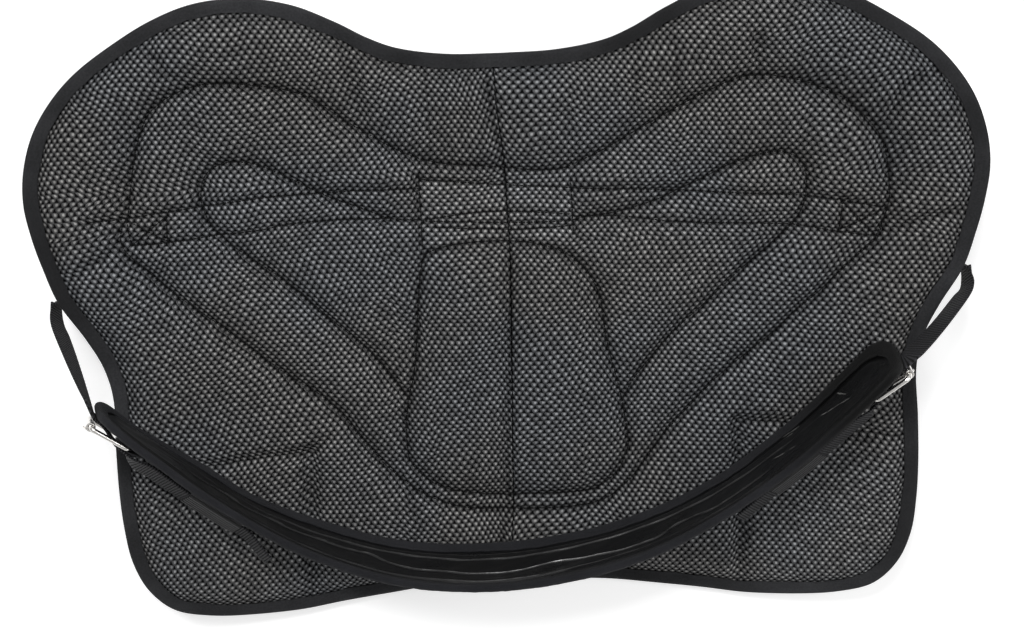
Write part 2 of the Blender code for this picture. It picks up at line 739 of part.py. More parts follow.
def build_girth(mats, girth):
    hinge = (0.0, HINGE_Y, HINGE_Z)
    length = girth.length
    outer = rounded_box(0.0, length, 0.0, GIRTH_W, GIRTH_CORNER, 4, GIRTH_STEP)
    sheet_edge = inset_loop(outer, GIRTH_TAPE_T + GAP)
    ring = inset_loop(outer, GIRTH_TAPE_W + TAPE_CLEAR)
    crease = [Vector((GIRTH_W / 2, GIRTH_W / 2)), Vector((length - GIRTH_W / 2, GIRTH_W / 2))]
    crease = resample(crease, GIRTH_STEP)
    verts, tris, tags = plan_mesh(sheet_edge, ring, [crease], [], LINER_CHANNEL_W, GIRTH_STEP * 1.4)
    closed_ring = ring + [ring[0]]
    faces_in, faces_mid, faces_out = [], [], []
    for v, tag in zip(verts, tags):
        puff = 0.0
        if tag in ("free", "sewn"):
            puff = 1.0 - max(channel(distance(v, closed_ring), LINER_CHANNEL_W),
                             0.35 * channel(distance(v, crease), LINER_CHANNEL_W))
        faces_in.append(girth.put(v.x, v.y, -GAP - LINER_EDGE_T - puff * LINER_PUFF))
        faces_mid.append(girth.put(v.x, v.y, -GAP))
        faces_out.append((girth.put(v.x, v.y, 0.0), girth.put(v.x, v.y, GIRTH_COVER_T)))
    add_piece("girth_liner", *shell(tris, faces_mid, faces_in), mats["smooth"], hinge, smooth=True)
    add_piece("girth_cover", *shell(tris, [f[1] for f in faces_out], [f[0] for f in faces_out]),
              mats["tape"], hinge)
    add_piece("girth_binding", *tape(outer, girth.put, -GAP - LINER_EDGE_T, GIRTH_COVER_T,
                                     GIRTH_TAPE_W, GIRTH_TAPE_T), mats["tape"], hinge, smooth=True)

    # Web along the outside; each end folds round a heel bar and is sewn back on itself.
    half = WEB_W / 2
    fold = []
    leg_n = WEB_N + WEB_T + GAP
    for a in range(-90, -271, -20):
        r = math.radians(a)
        fold.append((HEEL_D + WRAP_R * math.cos(r), HEEL_N + WRAP_R * math.sin(r)))
    top_n = HEEL_N + WRAP_R
    leg = [(HEEL_D + 0.005, top_n - 0.0006), (HEEL_D + 0.010, (top_n + leg_n) / 2),
           (HEEL_D + 0.016, leg_n + 0.0002), (HEEL_D + WEB_LEG, leg_n)]
    start = [(HEEL_D + 0.005, WEB_N)]
    left_end = (start + fold + leg)[::-1]
    rows, skip = [], set()
    path = [(d, n) for d, n in left_end]
    spans = round((length - 2 * HEEL_D - 0.010) / WEB_STEP)
    first = HEEL_D + 0.005
    for i in range(1, spans):
        path.append((first + (length - 2 * first) * i / spans, WEB_N))
    path += [(length - d, n) for d, n in start + fold + leg]
    for s, n in path:
        point, along, wide, out = girth.frame(s)
        rows.append([point + out * n + wide * w for w in (-half, -SLOT_HALF, SLOT_HALF, half)])
    holes = len(left_end)
    legs = len(leg)
    for i in range(legs - 1, holes - 1):
        skip.add((i, 1))
        skip.add((len(path) - 2 - i, 1))
    add_piece("girth_web", *strip(rows, WEB_T, skip), mats["webbing"], hinge)

    for name, sign in (("left", 1), ("right", -1)):
        build_buckle(mats, girth, name, sign)
        build_billet(mats, girth, name, sign, hinge)


def build_buckle(mats, girth, name, sign):
    """Frame, roller and tongue, each with its origin on its own axis."""
    def place(d, n):
        s = d if sign > 0 else girth.length - d
        return girth.put(s, GIRTH_W / 2, n)

    heel = place(HEEL_D, HEEL_N)
    far = place(ROLLER_D, ROLLER_N)
    wide = girth.frame(HEEL_D if sign > 0 else girth.length - HEEL_D)[2]
    ahead = far - heel
    ahead = (ahead - wide * ahead.dot(wide)).normalized()
    reach = (far - heel).dot(ahead)
    far = heel + ahead * reach
    side = wide * -sign
    out = ahead.cross(side).normalized()
    turn = Matrix((ahead, side, out)).transposed().to_4x4()

    corner = FRAME_CORNER
    loop = rounded_box(0.0, reach, -FRAME_HALF, FRAME_HALF, corner, 3, 0.5)
    curve = bpy.data.curves.new("buckle_frame_" + name, "CURVE")
    curve.dimensions = "3D"
    curve.bevel_depth = WIRE_R
    curve.bevel_resolution = 2
    spline = curve.splines.new("POLY")
    spline.points.add(len(loop) - 1)
    for point, p in zip(spline.points, loop):
        point.co = (p.x, p.y, 0.0, 1.0)
    spline.use_cyclic_u = True
    curve.materials.append(mats["steel"])
    frame = bpy.data.objects.new("buckle_frame_" + name, curve)
    frame.matrix_world = Matrix.Translation(heel) @ turn
    bpy.context.collection.objects.link(frame)

    length = 2 * (FRAME_HALF - corner) - 2 * GAP
    sides = 14
    bore = (WIRE_R + GAP) / math.cos(math.pi / sides)
    verts, faces = [], []
    for y in (-length / 2, length / 2):
        for radius in (bore, ROLLER_R):
            for k in range(sides):
                a = 2 * math.pi * k / sides
                verts.append(Vector((radius * math.cos(a), y, radius * math.sin(a))))
    for k in range(sides):
        j = (k + 1) % sides
        i0, i1, o0, o1 = k, j, k + sides, j + sides
        up = 2 * sides
        faces += [[i0, i1, o1, o0], [i0 + up, o0 + up, o1 + up, i1 + up],
                  [i0, i0 + up, i1 + up, i1], [o0, o1, o1 + up, o0 + up]]
    roller = add_piece("buckle_roller_" + name, verts, faces, mats["steel"], smooth=True)
    roller.matrix_world = Matrix.Translation(far) @ turn

    barrel = WIRE_R + GAP + TONGUE_T / 2
    tip = Vector((reach + 0.0015, ROLLER_R + GAP + TONGUE_T / 2))
    leave = math.atan2(tip.y, tip.x) + math.acos(barrel / tip.length)
    path = []
    spans = 12
    begin = math.radians(-50)
    finish = leave - 2 * math.pi
    for k in range(spans + 1):
        a = begin + (finish - begin) * k / spans
        path.append(Vector((barrel * math.cos(a), barrel * math.sin(a))))
    for k in range(1, 5):
        path.append(path[spans].lerp(tip, k / 4))
    path.append(tip + Vector((0.0025, -0.0004)))
    rows = [[Vector((p.x, w, p.y)) for w in (-TONGUE_W / 2, TONGUE_W / 2)] for p in path]
    tongue = add_piece("buckle_tongue_" + name, *strip(rows, TONGUE_T), mats["steel"])
    tongue.matrix_world = Matrix.Translation(heel) @ turn
    print("buckle", name, "heel", [round(v, 5) for v in heel], "roller", [round(v, 5) for v in far],
          "axis", [round(v, 5) for v in side])


def build_billet(mats, girth, name, sign, hinge):
    half = STRAP_W / 2
    under_n = GIRTH_COVER_T + TAPE_EASE + GIRTH_TAPE_T + BILLET_SLACK + BILLET_T / 2
    over_n = HEEL_N + WRAP_R + WEB_T / 2 + GAP + BILLET_T / 2 + 0.0001
    leg_n = WEB_N + WEB_T * 1.5 + 2 * GAP + BILLET_T / 2
    run_n = WEB_N + WEB_T / 2 + GAP + KEEPER_T + GAP + BILLET_T / 2 + 0.0005
    full = BILLET_TILT[name]
    keeper_end = KEEPER_START + KEEPER_L
    knots = [
        (0.0, under_n), (ROLLER_D + 0.004, under_n), (HEEL_D - 0.005, over_n),
        (HEEL_D + 0.006, over_n), (HEEL_D + WEB_LEG + 0.003, max(leg_n, run_n) + 0.0001),
        (KEEPER_START - 0.012, run_n), (keeper_end + 0.003, run_n),
        (BILLET_END + 0.006, run_n + TAIL_DROOP[name]),
    ]
    tilts = [(HEEL_D - 0.002, 0.0), (HEEL_D + 0.022, full)]
    slot = (HEEL_D - 0.016, HEEL_D + 0.004)
    stops = [0.0, 0.005, 0.010, 0.015, 0.019]
    stops += [slot[0] + (slot[1] - slot[0]) * k / 6 for k in range(7)]
    stops += [HEEL_D + v for v in (0.008, 0.012, 0.017, 0.023, 0.030, 0.040)]
    stops += [KEEPER_START - 0.006]
    stops += [KEEPER_START + KEEPER_L * k / 4 for k in range(5)]
    stops += [keeper_end + (BILLET_END - keeper_end) * k / 5 for k in range(1, 6)]

    def side_s(d):
        return d if sign > 0 else girth.length - d

    # From the hinge, on edge, out round the pad's edge and up to the girth's end.
    first, along, wide, out = girth.frame(side_s(0.0))
    end = first + out * under_n
    x = -sign
    bend = BILLET_BEND
    line = [Vector((x * HINGE_X, HINGE_Y, HINGE_Z))]
    start = line[0] + Vector((x * HINGE_LEAD, 0, 0))
    line.append(start)
    for a in (30, 60, 90):
        r = math.radians(a)
        line.append(start + Vector((x * bend * math.sin(r), -bend * (1 - math.cos(r)), 0)))
    lead = line[-1]
    near = lead + Vector((x * -0.0026, -0.017, 0.0090))
    slack = Vector((0.0036 if sign < 0 else -0.0006, 0, -0.001))
    route = [lead, lead + Vector((x * -0.0004, -0.008, 0.0035)), near, near.lerp(end, 0.36) + slack,
             near.lerp(end, 0.72) + slack, end]
    free = resample(catmull(route, 8), 0.008)
    line += free[1:-1]
    rows = []
    count = len(line)
    up = Vector((0, 0, 1))
    for i, p in enumerate(line):
        t = max(0.0, (i - 4) / (count - 4)) ** 2
        ahead = (line[i + 1] if i + 1 < count else end) - line[max(i - 1, 0)]
        across = up.lerp(wide, t)
        if i == 0:
            ahead = Vector((x, 0, 0))
        across = (across - ahead * across.dot(ahead) / ahead.length_squared).normalized()
        rows.append([p + across * w for w in (-half, -SLOT_HALF, SLOT_HALF, half)])

    # Along the girth its upper edge stays on the web and its lower edge leans out.
    def leaning(d, n, tilt):
        point, along, wide, out = girth.frame(side_s(d))
        across = wide * math.cos(tilt) - out * math.sin(tilt)
        centre = point + out * (n + half * math.sin(tilt)) + wide * half * (1 - math.cos(tilt))
        return centre, across, out * math.cos(tilt) + wide * math.sin(tilt)

    skip = set()
    for d in stops:
        p, across, over = leaning(d, blend(knots, d), blend(tilts, d))
        rows.append([p + across * w for w in (-half, -SLOT_HALF, SLOT_HALF, half)])
        if slot[0] - 1e-6 <= d < slot[1] - 1e-6:
            skip.add((len(rows) - 1, 1))
    add_piece("billet_" + name, *strip(rows, BILLET_T, skip), mats["webbing"], hinge)

    # Elastic keeper: a flat sleeve sewn on the web's upper edge, with the billet inside it.
    bore_w, bore_n = half + 2 * GAP, BILLET_T / 2 + GAP
    verts, faces = [], []
    spans = 4
    for i in range(spans + 1):
        centre, across, over = leaning(KEEPER_START + KEEPER_L * i / spans, run_n, full)
        for wall in (KEEPER_T, 0.0):
            w, n = bore_w + wall, bore_n + wall
            for u, v in ((-w, -n), (w, -n), (w, n), (-w, n)):
                verts.append(centre + across * u + over * v)
    for i in range(spans):
        for base in (0, 4):
            for j in range(4):
                a, b = i * 8 + base + j, i * 8 + base + (j + 1) % 4
                faces.append([a, b, b + 8, a + 8])
    for i in (0, spans * 8):
        for j in range(4):
            k = (j + 1) % 4
            faces.append([i + j, i + k, i + 4 + k, i + 4 + j])
    add_piece("keeper_" + name, verts, faces, mats["elastic"], hinge)


def main():
    clear_scene()
    mats = {
        "neoprene": material("neoprene", (0.020, 0.021, 0.024), 0.75),
        "grip_weave": material("grip_weave", (0.055, 0.058, 0.062), 0.62),
        "foam": material("foam", (0.120, 0.120, 0.125), 0.90),
        "tape": material("tape", (0.022, 0.023, 0.027), 0.80),
        "suede": material("suede", (0.035, 0.033, 0.032), 0.95),
        "webbing": material("webbing", (0.020, 0.020, 0.022), 0.70),
        "smooth": material("smooth", (0.012, 0.012, 0.013), 0.35),
        "elastic": material("elastic", (0.016, 0.016, 0.018), 0.60),
        "steel": material("steel", (0.750, 0.730, 0.700), 0.18, 1.0),
    }
    build_pad(mats)
    build_rider_side(mats)
    girth = Girth()
    build_girth(mats, girth)
    print("girth length", round(girth.length, 4))


main()
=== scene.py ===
"""Looks of the saddle pad: its woven, quilted horse side up and the girth folded over the rear."""
import math

import bmesh
import bpy
import numpy as np
from mathutils import Matrix, Vector


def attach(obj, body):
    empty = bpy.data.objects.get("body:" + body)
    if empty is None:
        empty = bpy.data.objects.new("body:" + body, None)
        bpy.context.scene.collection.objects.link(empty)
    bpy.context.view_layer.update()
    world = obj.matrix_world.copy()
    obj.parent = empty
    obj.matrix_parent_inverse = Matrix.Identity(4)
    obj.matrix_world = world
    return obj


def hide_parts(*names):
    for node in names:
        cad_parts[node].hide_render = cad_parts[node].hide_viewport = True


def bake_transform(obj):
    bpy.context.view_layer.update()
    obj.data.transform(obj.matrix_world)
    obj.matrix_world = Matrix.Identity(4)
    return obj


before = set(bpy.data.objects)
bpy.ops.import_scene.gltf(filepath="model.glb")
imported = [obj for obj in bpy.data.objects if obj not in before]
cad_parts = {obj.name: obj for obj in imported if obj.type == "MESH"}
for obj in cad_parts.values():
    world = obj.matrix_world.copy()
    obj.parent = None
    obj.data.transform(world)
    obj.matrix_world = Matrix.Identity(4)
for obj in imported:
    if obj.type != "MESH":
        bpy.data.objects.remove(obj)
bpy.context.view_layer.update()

# Sizes that the solids have, in metres; outlines and other lines of points are in millimetres.
GAP = 0.0003
PAD_OUTLINE = [
    (0, 227), (45, 228), (85, 234), (112, 244), (140, 259), (175, 274), (215, 281), (255, 278), (291, 265),
    (325, 245), (352, 225), (372, 203), (387, 178), (396, 150), (399, 122), (396, 94), (390, 66), (381, 35),
    (364, 3), (352, -25), (347, -55), (349, -95), (350, -135), (349, -170), (345, -203), (334, -232),
    (314, -254), (285, -264), (250, -268), (205, -268), (165, -263), (125, -258), (80, -252), (40, -250),
    (0, -249),
]
FLAT_HALF = 0.11
BEND_R = 0.72
COVER_LOW, COVER_HIGH = 0.0036, 0.0076
UNDER_LOW, UNDERSIDE_T = 0.0079, 0.003
GROOVE_H, PAD_HIGH = 0.0109, 0.0233
EDGE_LOW, EDGE_MID, EDGE_HIGH = 0.0048, 0.0072, 0.01
TAPE_T, TAPE_W, TAPE_EASE = 0.001, 0.012, 0.0005
STRAP_T, STRAP_W = 0.0016, 0.025
STRAP_HIGH = COVER_LOW - GAP
STRAP_LOW = STRAP_HIGH - STRAP_T
STRAP_MID = (STRAP_LOW + STRAP_HIGH) / 2
HINGE = Vector((0.0, 0.034, 0.04))
HINGE_X, HINGE_LEAD = 0.3855, 0.002

# Quilting lines in the horse side.
DEEP = [
    [(-320, 107), (-309, 161), (-293, 193), (-260, 210), (-219, 210), (-170, 199), (-130, 172), (-72, 140),
     (0, 130), (24, 127), (47, 127), (67, 134), (91, 145), (111, 156), (134, 168), (157, 180), (179, 190),
     (196, 197), (212, 200), (237, 198), (264, 190), (288, 177), (304, 162), (316, 145), (321, 124),
     (323, 101), (321, 84), (314, 60)],
    [(-320, 107), (-327, 92), (-326, 77), (-312, 60), (-290, 36), (-262, 11), (-233, -15), (-201, -44),
     (-165, -72), (-142, -103), (-119, -133), (-96, -155), (-72, -169), (-45, -177), (-6, -179), (37, -180),
     (73, -175), (96, -160), (115, -138), (133, -113), (156, -88), (182, -61), (223, -27), (245, -6),
     (265, 12), (284, 31), (300, 47), (314, 60)],
    [(-261, 111), (-255, 94), (-245, 80), (-227, 64), (-205, 47), (-189, 33), (-164, 8), (-143, -12),
     (-122, -33), (-106, -54), (-94, -73)],
    [(257, 111), (255, 93), (252, 85), (245, 73), (237, 66), (220, 50), (200, 33), (173, 7), (148, -15),
     (128, -36), (107, -61), (95, -82)],
    [(-73, 57), (-77, 46), (-80, 26), (-83, -1), (-85, -24), (-89, -51), (-95, -74), (-98, -97), (-98, -120),
     (-96, -132), (-89, -141), (-80, -150), (-58, -160), (-22, -165), (24, -166), (60, -165), (73, -161),
     (85, -152), (93, -142), (98, -130), (100, -121), (99, -109), (96, -86), (92, -65), (84, -31), (81, -8),
     (79, 10), (73, 27), (62, 43), (46, 55), (21, 63), (-2, 66), (-32, 66), (-60, 62), (-73, 57)],
    [(-261, 111), (-259, 128), (-251, 140), (-235, 145), (-213, 142), (-185, 128), (-156, 112), (-134, 103),
     (-115, 95), (-104, 90)],
    [(57, 82), (72, 85), (97, 88), (130, 97), (150, 106), (167, 113), (192, 125), (217, 133), (238, 135),
     (253, 125), (257, 111)],
]
SPINE = [(-7, 227), (-5, 179), (-1, 137), (0, 102), (1, 50), (-1, -31), (-4, -123), (-5, -170), (-8, -208),
         (-9, -249)]
# Shallow lines: points, depth from 0 to 1 and half width in millimetres.
SHALLOW = [
    ([(-193, -262), (-190, -200), (-184, -117)], 0.62, 7),
    ([(-184, -117), (-230, -118), (-279, -122), (-345, -120)], 0.42, 6),
    ([(-184, -117), (-166, -104)], 0.4, 6),
    ([(-95, -157), (-95, -190), (-96, -250)], 0.42, 7),
    ([(197, -262), (198, -180), (198, -103)], 0.62, 7),
    ([(198, -103), (249, -104), (295, -109), (346, -116)], 0.42, 6),
    ([(-129, 250), (-127, 215), (-122, 178)], 0.45, 6),
    ([(-64, 230), (-64, 190), (-63, 143)], 0.22, 7),
    ([(-293, 248), (-280, 222), (-264, 208)], 0.5, 5),
    ([(-390, 55), (-367, 57), (-330, 78)], 0.5, 5),
    ([(215, 232), (217, 213), (221, 196)], 0.45, 5),
    ([(370, 203), (350, 195), (335, 188), (316, 150)], 0.45, 5),
    ([(385, 84), (363, 81), (319, 66)], 0.5, 5),
    ([(118, 237), (116, 179), (146, 178), (147, 238)], 0.16, 4),
    ([(-350, 103), (-325, 103), (-297, 106), (-265, 108.5), (-233, 111.5), (-198, 114), (-159, 114.5),
      (-126, 115.5), (-75, 115)], 0.34, 5),
    ([(57, 110), (104, 107.5), (152, 104.5), (200, 101), (257, 97), (290, 92), (322, 86)], 0.34, 5),
    ([(-319, 80), (-289, 80.5), (-257, 83), (-232, 84.5), (-209, 86.5), (-186, 90), (-151, 91), (-117, 90.5),
      (-76, 88)], 0.34, 5),
    ([(57, 85), (102, 83.5), (134, 79), (165, 76.5), (204, 75), (250, 72), (278, 67), (314, 62)], 0.34, 5),
    ([(-322, 102), (-319, 79)], 0.3, 4),
    ([(322, 86), (313, 62)], 0.3, 4),
    ([(-75, 128), (-75, 63)], 0.35, 4),
    ([(56, 118), (57, 70)], 0.35, 4),
    ([(-75, 123), (-46, 119.5), (-22, 117), (0, 114.7), (28, 112.5), (57, 110)], 0.5, 4),
    ([(-72, 87), (-36, 91), (-1, 92), (55, 87)], 0.5, 3),
    ([(-72, 86), (-1, 82), (55, 81)], 0.5, 3),
    ([(-64, 80), (-2, 76), (28, 76), (56, 77)], 0.4, 3),
    ([(-322, 102), (-289, 81)], 0.2, 3),
    ([(-319, 80), (-289, 103)], 0.2, 3),
    ([(-289, 104), (-290, 81)], 0.25, 3),
    ([(285, 92), (313, 62)], 0.2, 3),
    ([(321, 86), (283, 68)], 0.2, 3),
    ([(285, 92), (282, 67)], 0.25, 3),
]
# The last lines of the list are sewn through, each with a fine crease.
FINE_LINES = 18
STRAP_PLACE = [(-317, 93), (0, 90), (317, 78)]
STRAP_REACH = STRAP_PLACE[-1][0] / 1000
# Middle line of the band that the strap's two rows of stitches press into the horse side.
BAND_PLACE = [(-318, 91), (-200, 100.5), (-100, 102.5), (0, 100), (56, 98), (150, 91), (250, 84.5),
              (318, 73.5)]
PATCH_HALF, PATCH_FRONT, PATCH_REAR, PATCH_T = 0.066, 0.121, 0.062, 0.0008
SEAT_CORNERS = [(88, -152), (70, 56), (-70, 56), (-88, -152)]
SEAT_T, SEAT_CORNER = 0.0033, 0.022
TAB_X, TAB_HALF, TAB_REAR, TAB_FRONT, TAB_T = 0.1325, 0.0145, 0.178, 0.233, 0.002
PATCH_CORNER, TAB_CORNER = 0.004, 0.003

GIRTH_W = 0.078
GIRTH_LOWER = [
    (-356, -45), (-325, -79), (-281, -113), (-235, -150), (-176, -179), (-108, -201), (-31, -207), (47, -200),
    (114, -182), (174, -153), (226, -113), (265, -76), (294, -44), (318, -19),
]
GIRTH_UPPER = [
    (-334, -39), (-305, -74), (-265, -114), (-220, -151), (-169, -184), (-104, -209), (-30, -218), (45, -211),
    (112, -192), (171, -160), (222, -123), (260, -88), (289, -58), (311, -32),
]
GIRTH_LIFT = 0.002
# Places along the girth and how far its section bows outwards there, in metres.
GIRTH_BOW = [(0.05, 0.003), (0.11, 0.006), (0.25, 0.009)]
GIRTH_CORNER = 0.02
GIRTH_TAPE_REACH, INNER_CORNER = 0.0104, 0.0215
LINER_EDGE_T, LINER_PUFF = 0.0015, 0.003
GIRTH_COVER_T = 0.0015
GIRTH_TAPE_T = 0.001
WEB_T, WEB_W, WEB_LEG, WEB_EASE = 0.0014, 0.025, 0.025, 0.0005
HEEL_D, ROLLER_D, ROLLER_N = 0.038, 0.0043, 0.0118
WIRE_R, FRAME_HALF, FRAME_CORNER, ROLLER_R = 0.002, 0.0165, 0.0045, 0.0039
TONGUE_T, TONGUE_W, SLOT_HALF = 0.0013, 0.005, 0.004
BILLET_T, BILLET_END, BILLET_SLACK = 0.0018, 0.19, 0.001
# How far each billet leans out from the girth, and how far its tail droops away from it.
TILT = {"left": math.radians(33), "right": math.radians(40)}
TAIL_DROOP = {"left": 0.014, "right": 0.003}
BILLET_BEND = 0.0025
KEEPER_START, KEEPER_L, KEEPER_T = 0.104, 0.05, 0.0008
KEEPER_END = KEEPER_START + KEEPER_L
KEEPER_RIB, KEEPER_RIB_H = 0.0052, 0.0004
# Heights over the girth's middle surface: of the web, of a heel bar and of a billet along the girth.
WEB_N = GIRTH_COVER_T + WEB_EASE + WEB_T / 2
WRAP_R = WIRE_R + GAP + WEB_T / 2
HEEL_N = WEB_N + WRAP_R
RUN_N = WEB_N + WEB_T / 2 + 2 * GAP + KEEPER_T + BILLET_T / 2 + 0.0005

# The pad's grid of heights: its step, and how many steps it reaches to either side, back and front.
STEP = 0.0015
GRID_X, GRID_BACK, GRID_FRONT = 268, 182, 190
# How fast the quilting fills up beside a seam, how far it is held down there, and its rounds of settling.
PUFF_LENGTH, HELD_AT_SEAM, HELD_AT_RIM, ROUNDS = 0.0105, 0.0022, 0.0025, 700
# How much the spine seam, the patch and the strap press the quilting in.
SPINE_PRESS, PATCH_PRESS, STRAP_PRESS = 0.45, 0.8, 0.14
# Depth and width of the dip along the rim's tape and of the fine creases; part that the foam is uneven by.
RIM_DIP, RIM_DIP_W, FINE_DIP, FINE_DIP_W, UNEVEN = 0.0009, 0.01, 0.0013, 0.0017, 0.045
# Part of the quilting's slope that stretches the weave; half the gap between its panels and their dip there.
STRETCH, SPINE_GAP, SPINE_DIP = 0.8, 0.00035, 0.0012
# Spacing of the points of large loops, of small ones and of sewn lines.
LOOP_STEP, FINE_STEP, SEW_STEP = 0.003, 0.002, 0.004
# The strap's patch as it shows in the weave: left, right, rear, front and softness.
PATCH_BOX = (-0.076, 0.058, 0.066, 0.122, 0.012)
# The woven panels, the cover and the rows of stitches end this far inside the rim.
WOVEN_MARGIN, COVER_MARGIN, SEW_MARGIN = 0.0045, 0.0035, 0.014
# Half width and half height of a float of the weave, in repeats, and its repeats in a metre.
FLOAT_HALF = (0.395, 0.326)
FLOATS = (157.0, 129.0)
# The grids of the girth's sheets start this far inside its rim, and their cells at least this far.
SHEET_INSET, SHEET_RIM = 0.0014, 0.0012
LINING_GRID, SHELL_GRID = (390, 112), (200, 40)
# How far the billets' free lengths hang out to the right.
FREE_SLACK = {"left": -0.0006, "right": 0.0036}
# Spacing of the points round a keeper.
KEEPER_STEP = 0.001

FLOOR_HALF, FLOOR_Z = 6.0, -0.0002
SKY = 0.45
# Lamps: place, both sizes and power.
KEY_LIGHT = ((-0.5, 1.5, 2.1), 1.0, 0.6, 38)
FILL_LIGHT = ((1.2, 0.2, 1.8), 1.2, 1.2, 14)
CAMERA_PLACE = (0.01107, 0.25655, 1.23801)
CAMERA_AXES = ((0.99915, -0.04118, 0.0), (0.04028, 0.97732, -0.20791), (0.00856, 0.20774, 0.97815))


# Curves, grids and meshes.

def catmull(points, count):
    """Smooth open curve through the points, with count spans between each pair."""
    p = np.array(points, float)
    p = np.vstack([2 * p[0] - p[1], p, 2 * p[-1] - p[-2]])
    out = []
    for i in range(1, len(p) - 2):
        a, b, c, d = p[i - 1:i + 3]
        for t in np.arange(count) / count:
            out.append(0.5 * (2 * b + (c - a) * t + (2 * a - 5 * b + 4 * c - d) * t ** 2
                              + (3 * b - a - 3 * c + d) * t ** 3))
    return np.array(out + [p[-2]])


def mm(points, count=8):
    """Smooth curve in metres through points in millimetres."""
    return catmull(np.array(points, float) / 1000, count)


def place_on(table, x):
    """The value at x, in metres, of a table of points in millimetres."""
    at, values = np.array(table, float).T / 1000
    return np.interp(x, at, values)


def unit(rows):
    """Rows of vectors brought to length 1."""
    return rows / np.linalg.norm(rows, axis=1)[:, None]


def spread(rows):
    """Mean distance of each column of a grid of points from the first, along the rows."""
    steps = np.linalg.norm(np.diff(rows, axis=1), axis=2).mean(axis=0)
    return np.concatenate([[0], np.cumsum(steps)])


def along_line(points, at, s):
    """Points at the distances s along a line whose own points lie at the distances at."""
    return np.column_stack([np.interp(s, at, points[:, k]) for k in range(points.shape[1])])


def flat(rows, columns):
    """Grid of points from two lists of places."""
    return np.stack(np.meshgrid(rows, columns, indexing="ij"), axis=-1)


def resample(points, step, closed=False):
    """Evenly spaced points along a line."""
    p = np.array(points, float)
    if closed:
        p = np.vstack([p, p[:1]])
    at = spread(p[None])
    want = np.linspace(0, at[-1], max(1, int(round(at[-1] / step))) + 1)
    return along_line(p, at, want[:-1] if closed else want)


def ease(x, low, high):
    """Smooth rise from 0 at low to 1 at high."""
    t = np.clip((x - low) / (high - low), 0, 1)
    return t * t * (3 - 2 * t)


def bell(x, at, width):
    return np.exp(-((x - at) / width) ** 2)


def smooth_noise(count, span, seed):
    """Even random values from -1 to 1 round a closed loop of count points, smooth over span of them."""
    values = np.random.default_rng(seed).uniform(-1, 1, max(4, int(count / span)))
    values = np.concatenate([values, values[:1]])
    at = np.linspace(0, len(values) - 1, count, endpoint=False)
    i = np.minimum(at.astype(int), len(values) - 2)
    t = ease(at - i, 0, 1)
    return values[i] * (1 - t) + values[i + 1] * t


def inward_of(loop):
    """Unit normals of a counter-clockwise loop, pointing inwards."""
    along = unit(np.roll(loop, -1, axis=0) - np.roll(loop, 1, axis=0))
    return np.column_stack([-along[:, 1], along[:, 0]])


def anticlockwise(loop):
    x, y = loop.T
    area = np.sum(x * np.roll(y, -1) - y * np.roll(x, -1))
    return loop[::-1] if area < 0 else loop


def rounded(points, radius, step):
    """Closed loop with its corners rounded."""
    points = np.asarray(points, float)
    out = []
    for i, p in enumerate(points):
        back, ahead = unit(np.array([points[i - 1] - p, points[(i + 1) % len(points)] - p])) * radius
        for t in np.linspace(0, 1, 7):
            out.append(p + back * (1 - t) ** 2 + ahead * t ** 2)
    return resample(out, step, closed=True)


def round_box(x0, y0, x1, y1, radius, count, step):
    """Loop of a rounded box; x0 to y1 give the middles of its corner arcs of count points each."""
    loop = []
    for cx, cy, start in ((x1, y0, -90), (x1, y1, 0), (x0, y1, 90), (x0, y0, 180)):
        for a in np.radians(np.linspace(start, start + 90, count)):
            loop.append((cx + radius * math.cos(a), cy + radius * math.sin(a)))
    return resample(loop, step, closed=True)


def circle(count):
    return np.linspace(0, math.tau, count, endpoint=False)


def ground(x):
    """Height of the pad's curved rider side over the floor."""
    over = np.maximum(np.abs(x) - FLAT_HALF, 0.0)
    return BEND_R - np.sqrt(BEND_R ** 2 - over ** 2)


def on_pad(x, y, h):
    return np.stack([x, y, ground(x) + h], axis=-1)


def new_object(name, data):
    obj = bpy.data.objects.new(name, data)
    bpy.context.collection.objects.link(obj)
    return obj


def declare(obj, body, nodes):
    """Say what a piece rides on and stands for; a blended one has no body."""
    if body:
        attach(obj, body)
    if nodes:
        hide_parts(*nodes)


def add_piece(name, verts, faces, mat, body, slot, nodes=(), uv=None, angle=None, fill=None):
    """One mesh object; nodes are the solids that it stands for."""
    mesh = bpy.data.meshes.new(name)
    mesh.from_pydata(np.asarray(verts, float).tolist(), [], [tuple(int(i) for i in f) for f in faces])
    if uv is not None:
        layer = mesh.uv_layers.new(name="cloth")
        index = np.empty(len(mesh.loops), dtype=np.int32)
        mesh.loops.foreach_get("vertex_index", index)
        layer.data.foreach_set("uv", np.asarray(uv, dtype=np.float32)[index].ravel())
    mesh.materials.append(mat)
    mesh.shade_smooth()
    if angle:
        mesh.set_sharp_from_angle(angle=math.radians(angle))
    obj = new_object(name, mesh)
    declare(obj, body, nodes)
    return obj


def mark(obj, name, values, sheets=1):
    """Store a value at each vertex, which the materials read; both sheets of a solid get the same."""
    layer = obj.data.attributes.new(name, "FLOAT", "POINT")
    layer.data.foreach_set("value", np.tile(np.asarray(values, dtype=np.float32), sheets))


def whole_cells(kept):
    """The cells of a grid whose four corners are kept."""
    return kept[:-1, :-1] & kept[1:, :-1] & kept[:-1, 1:] & kept[1:, 1:]


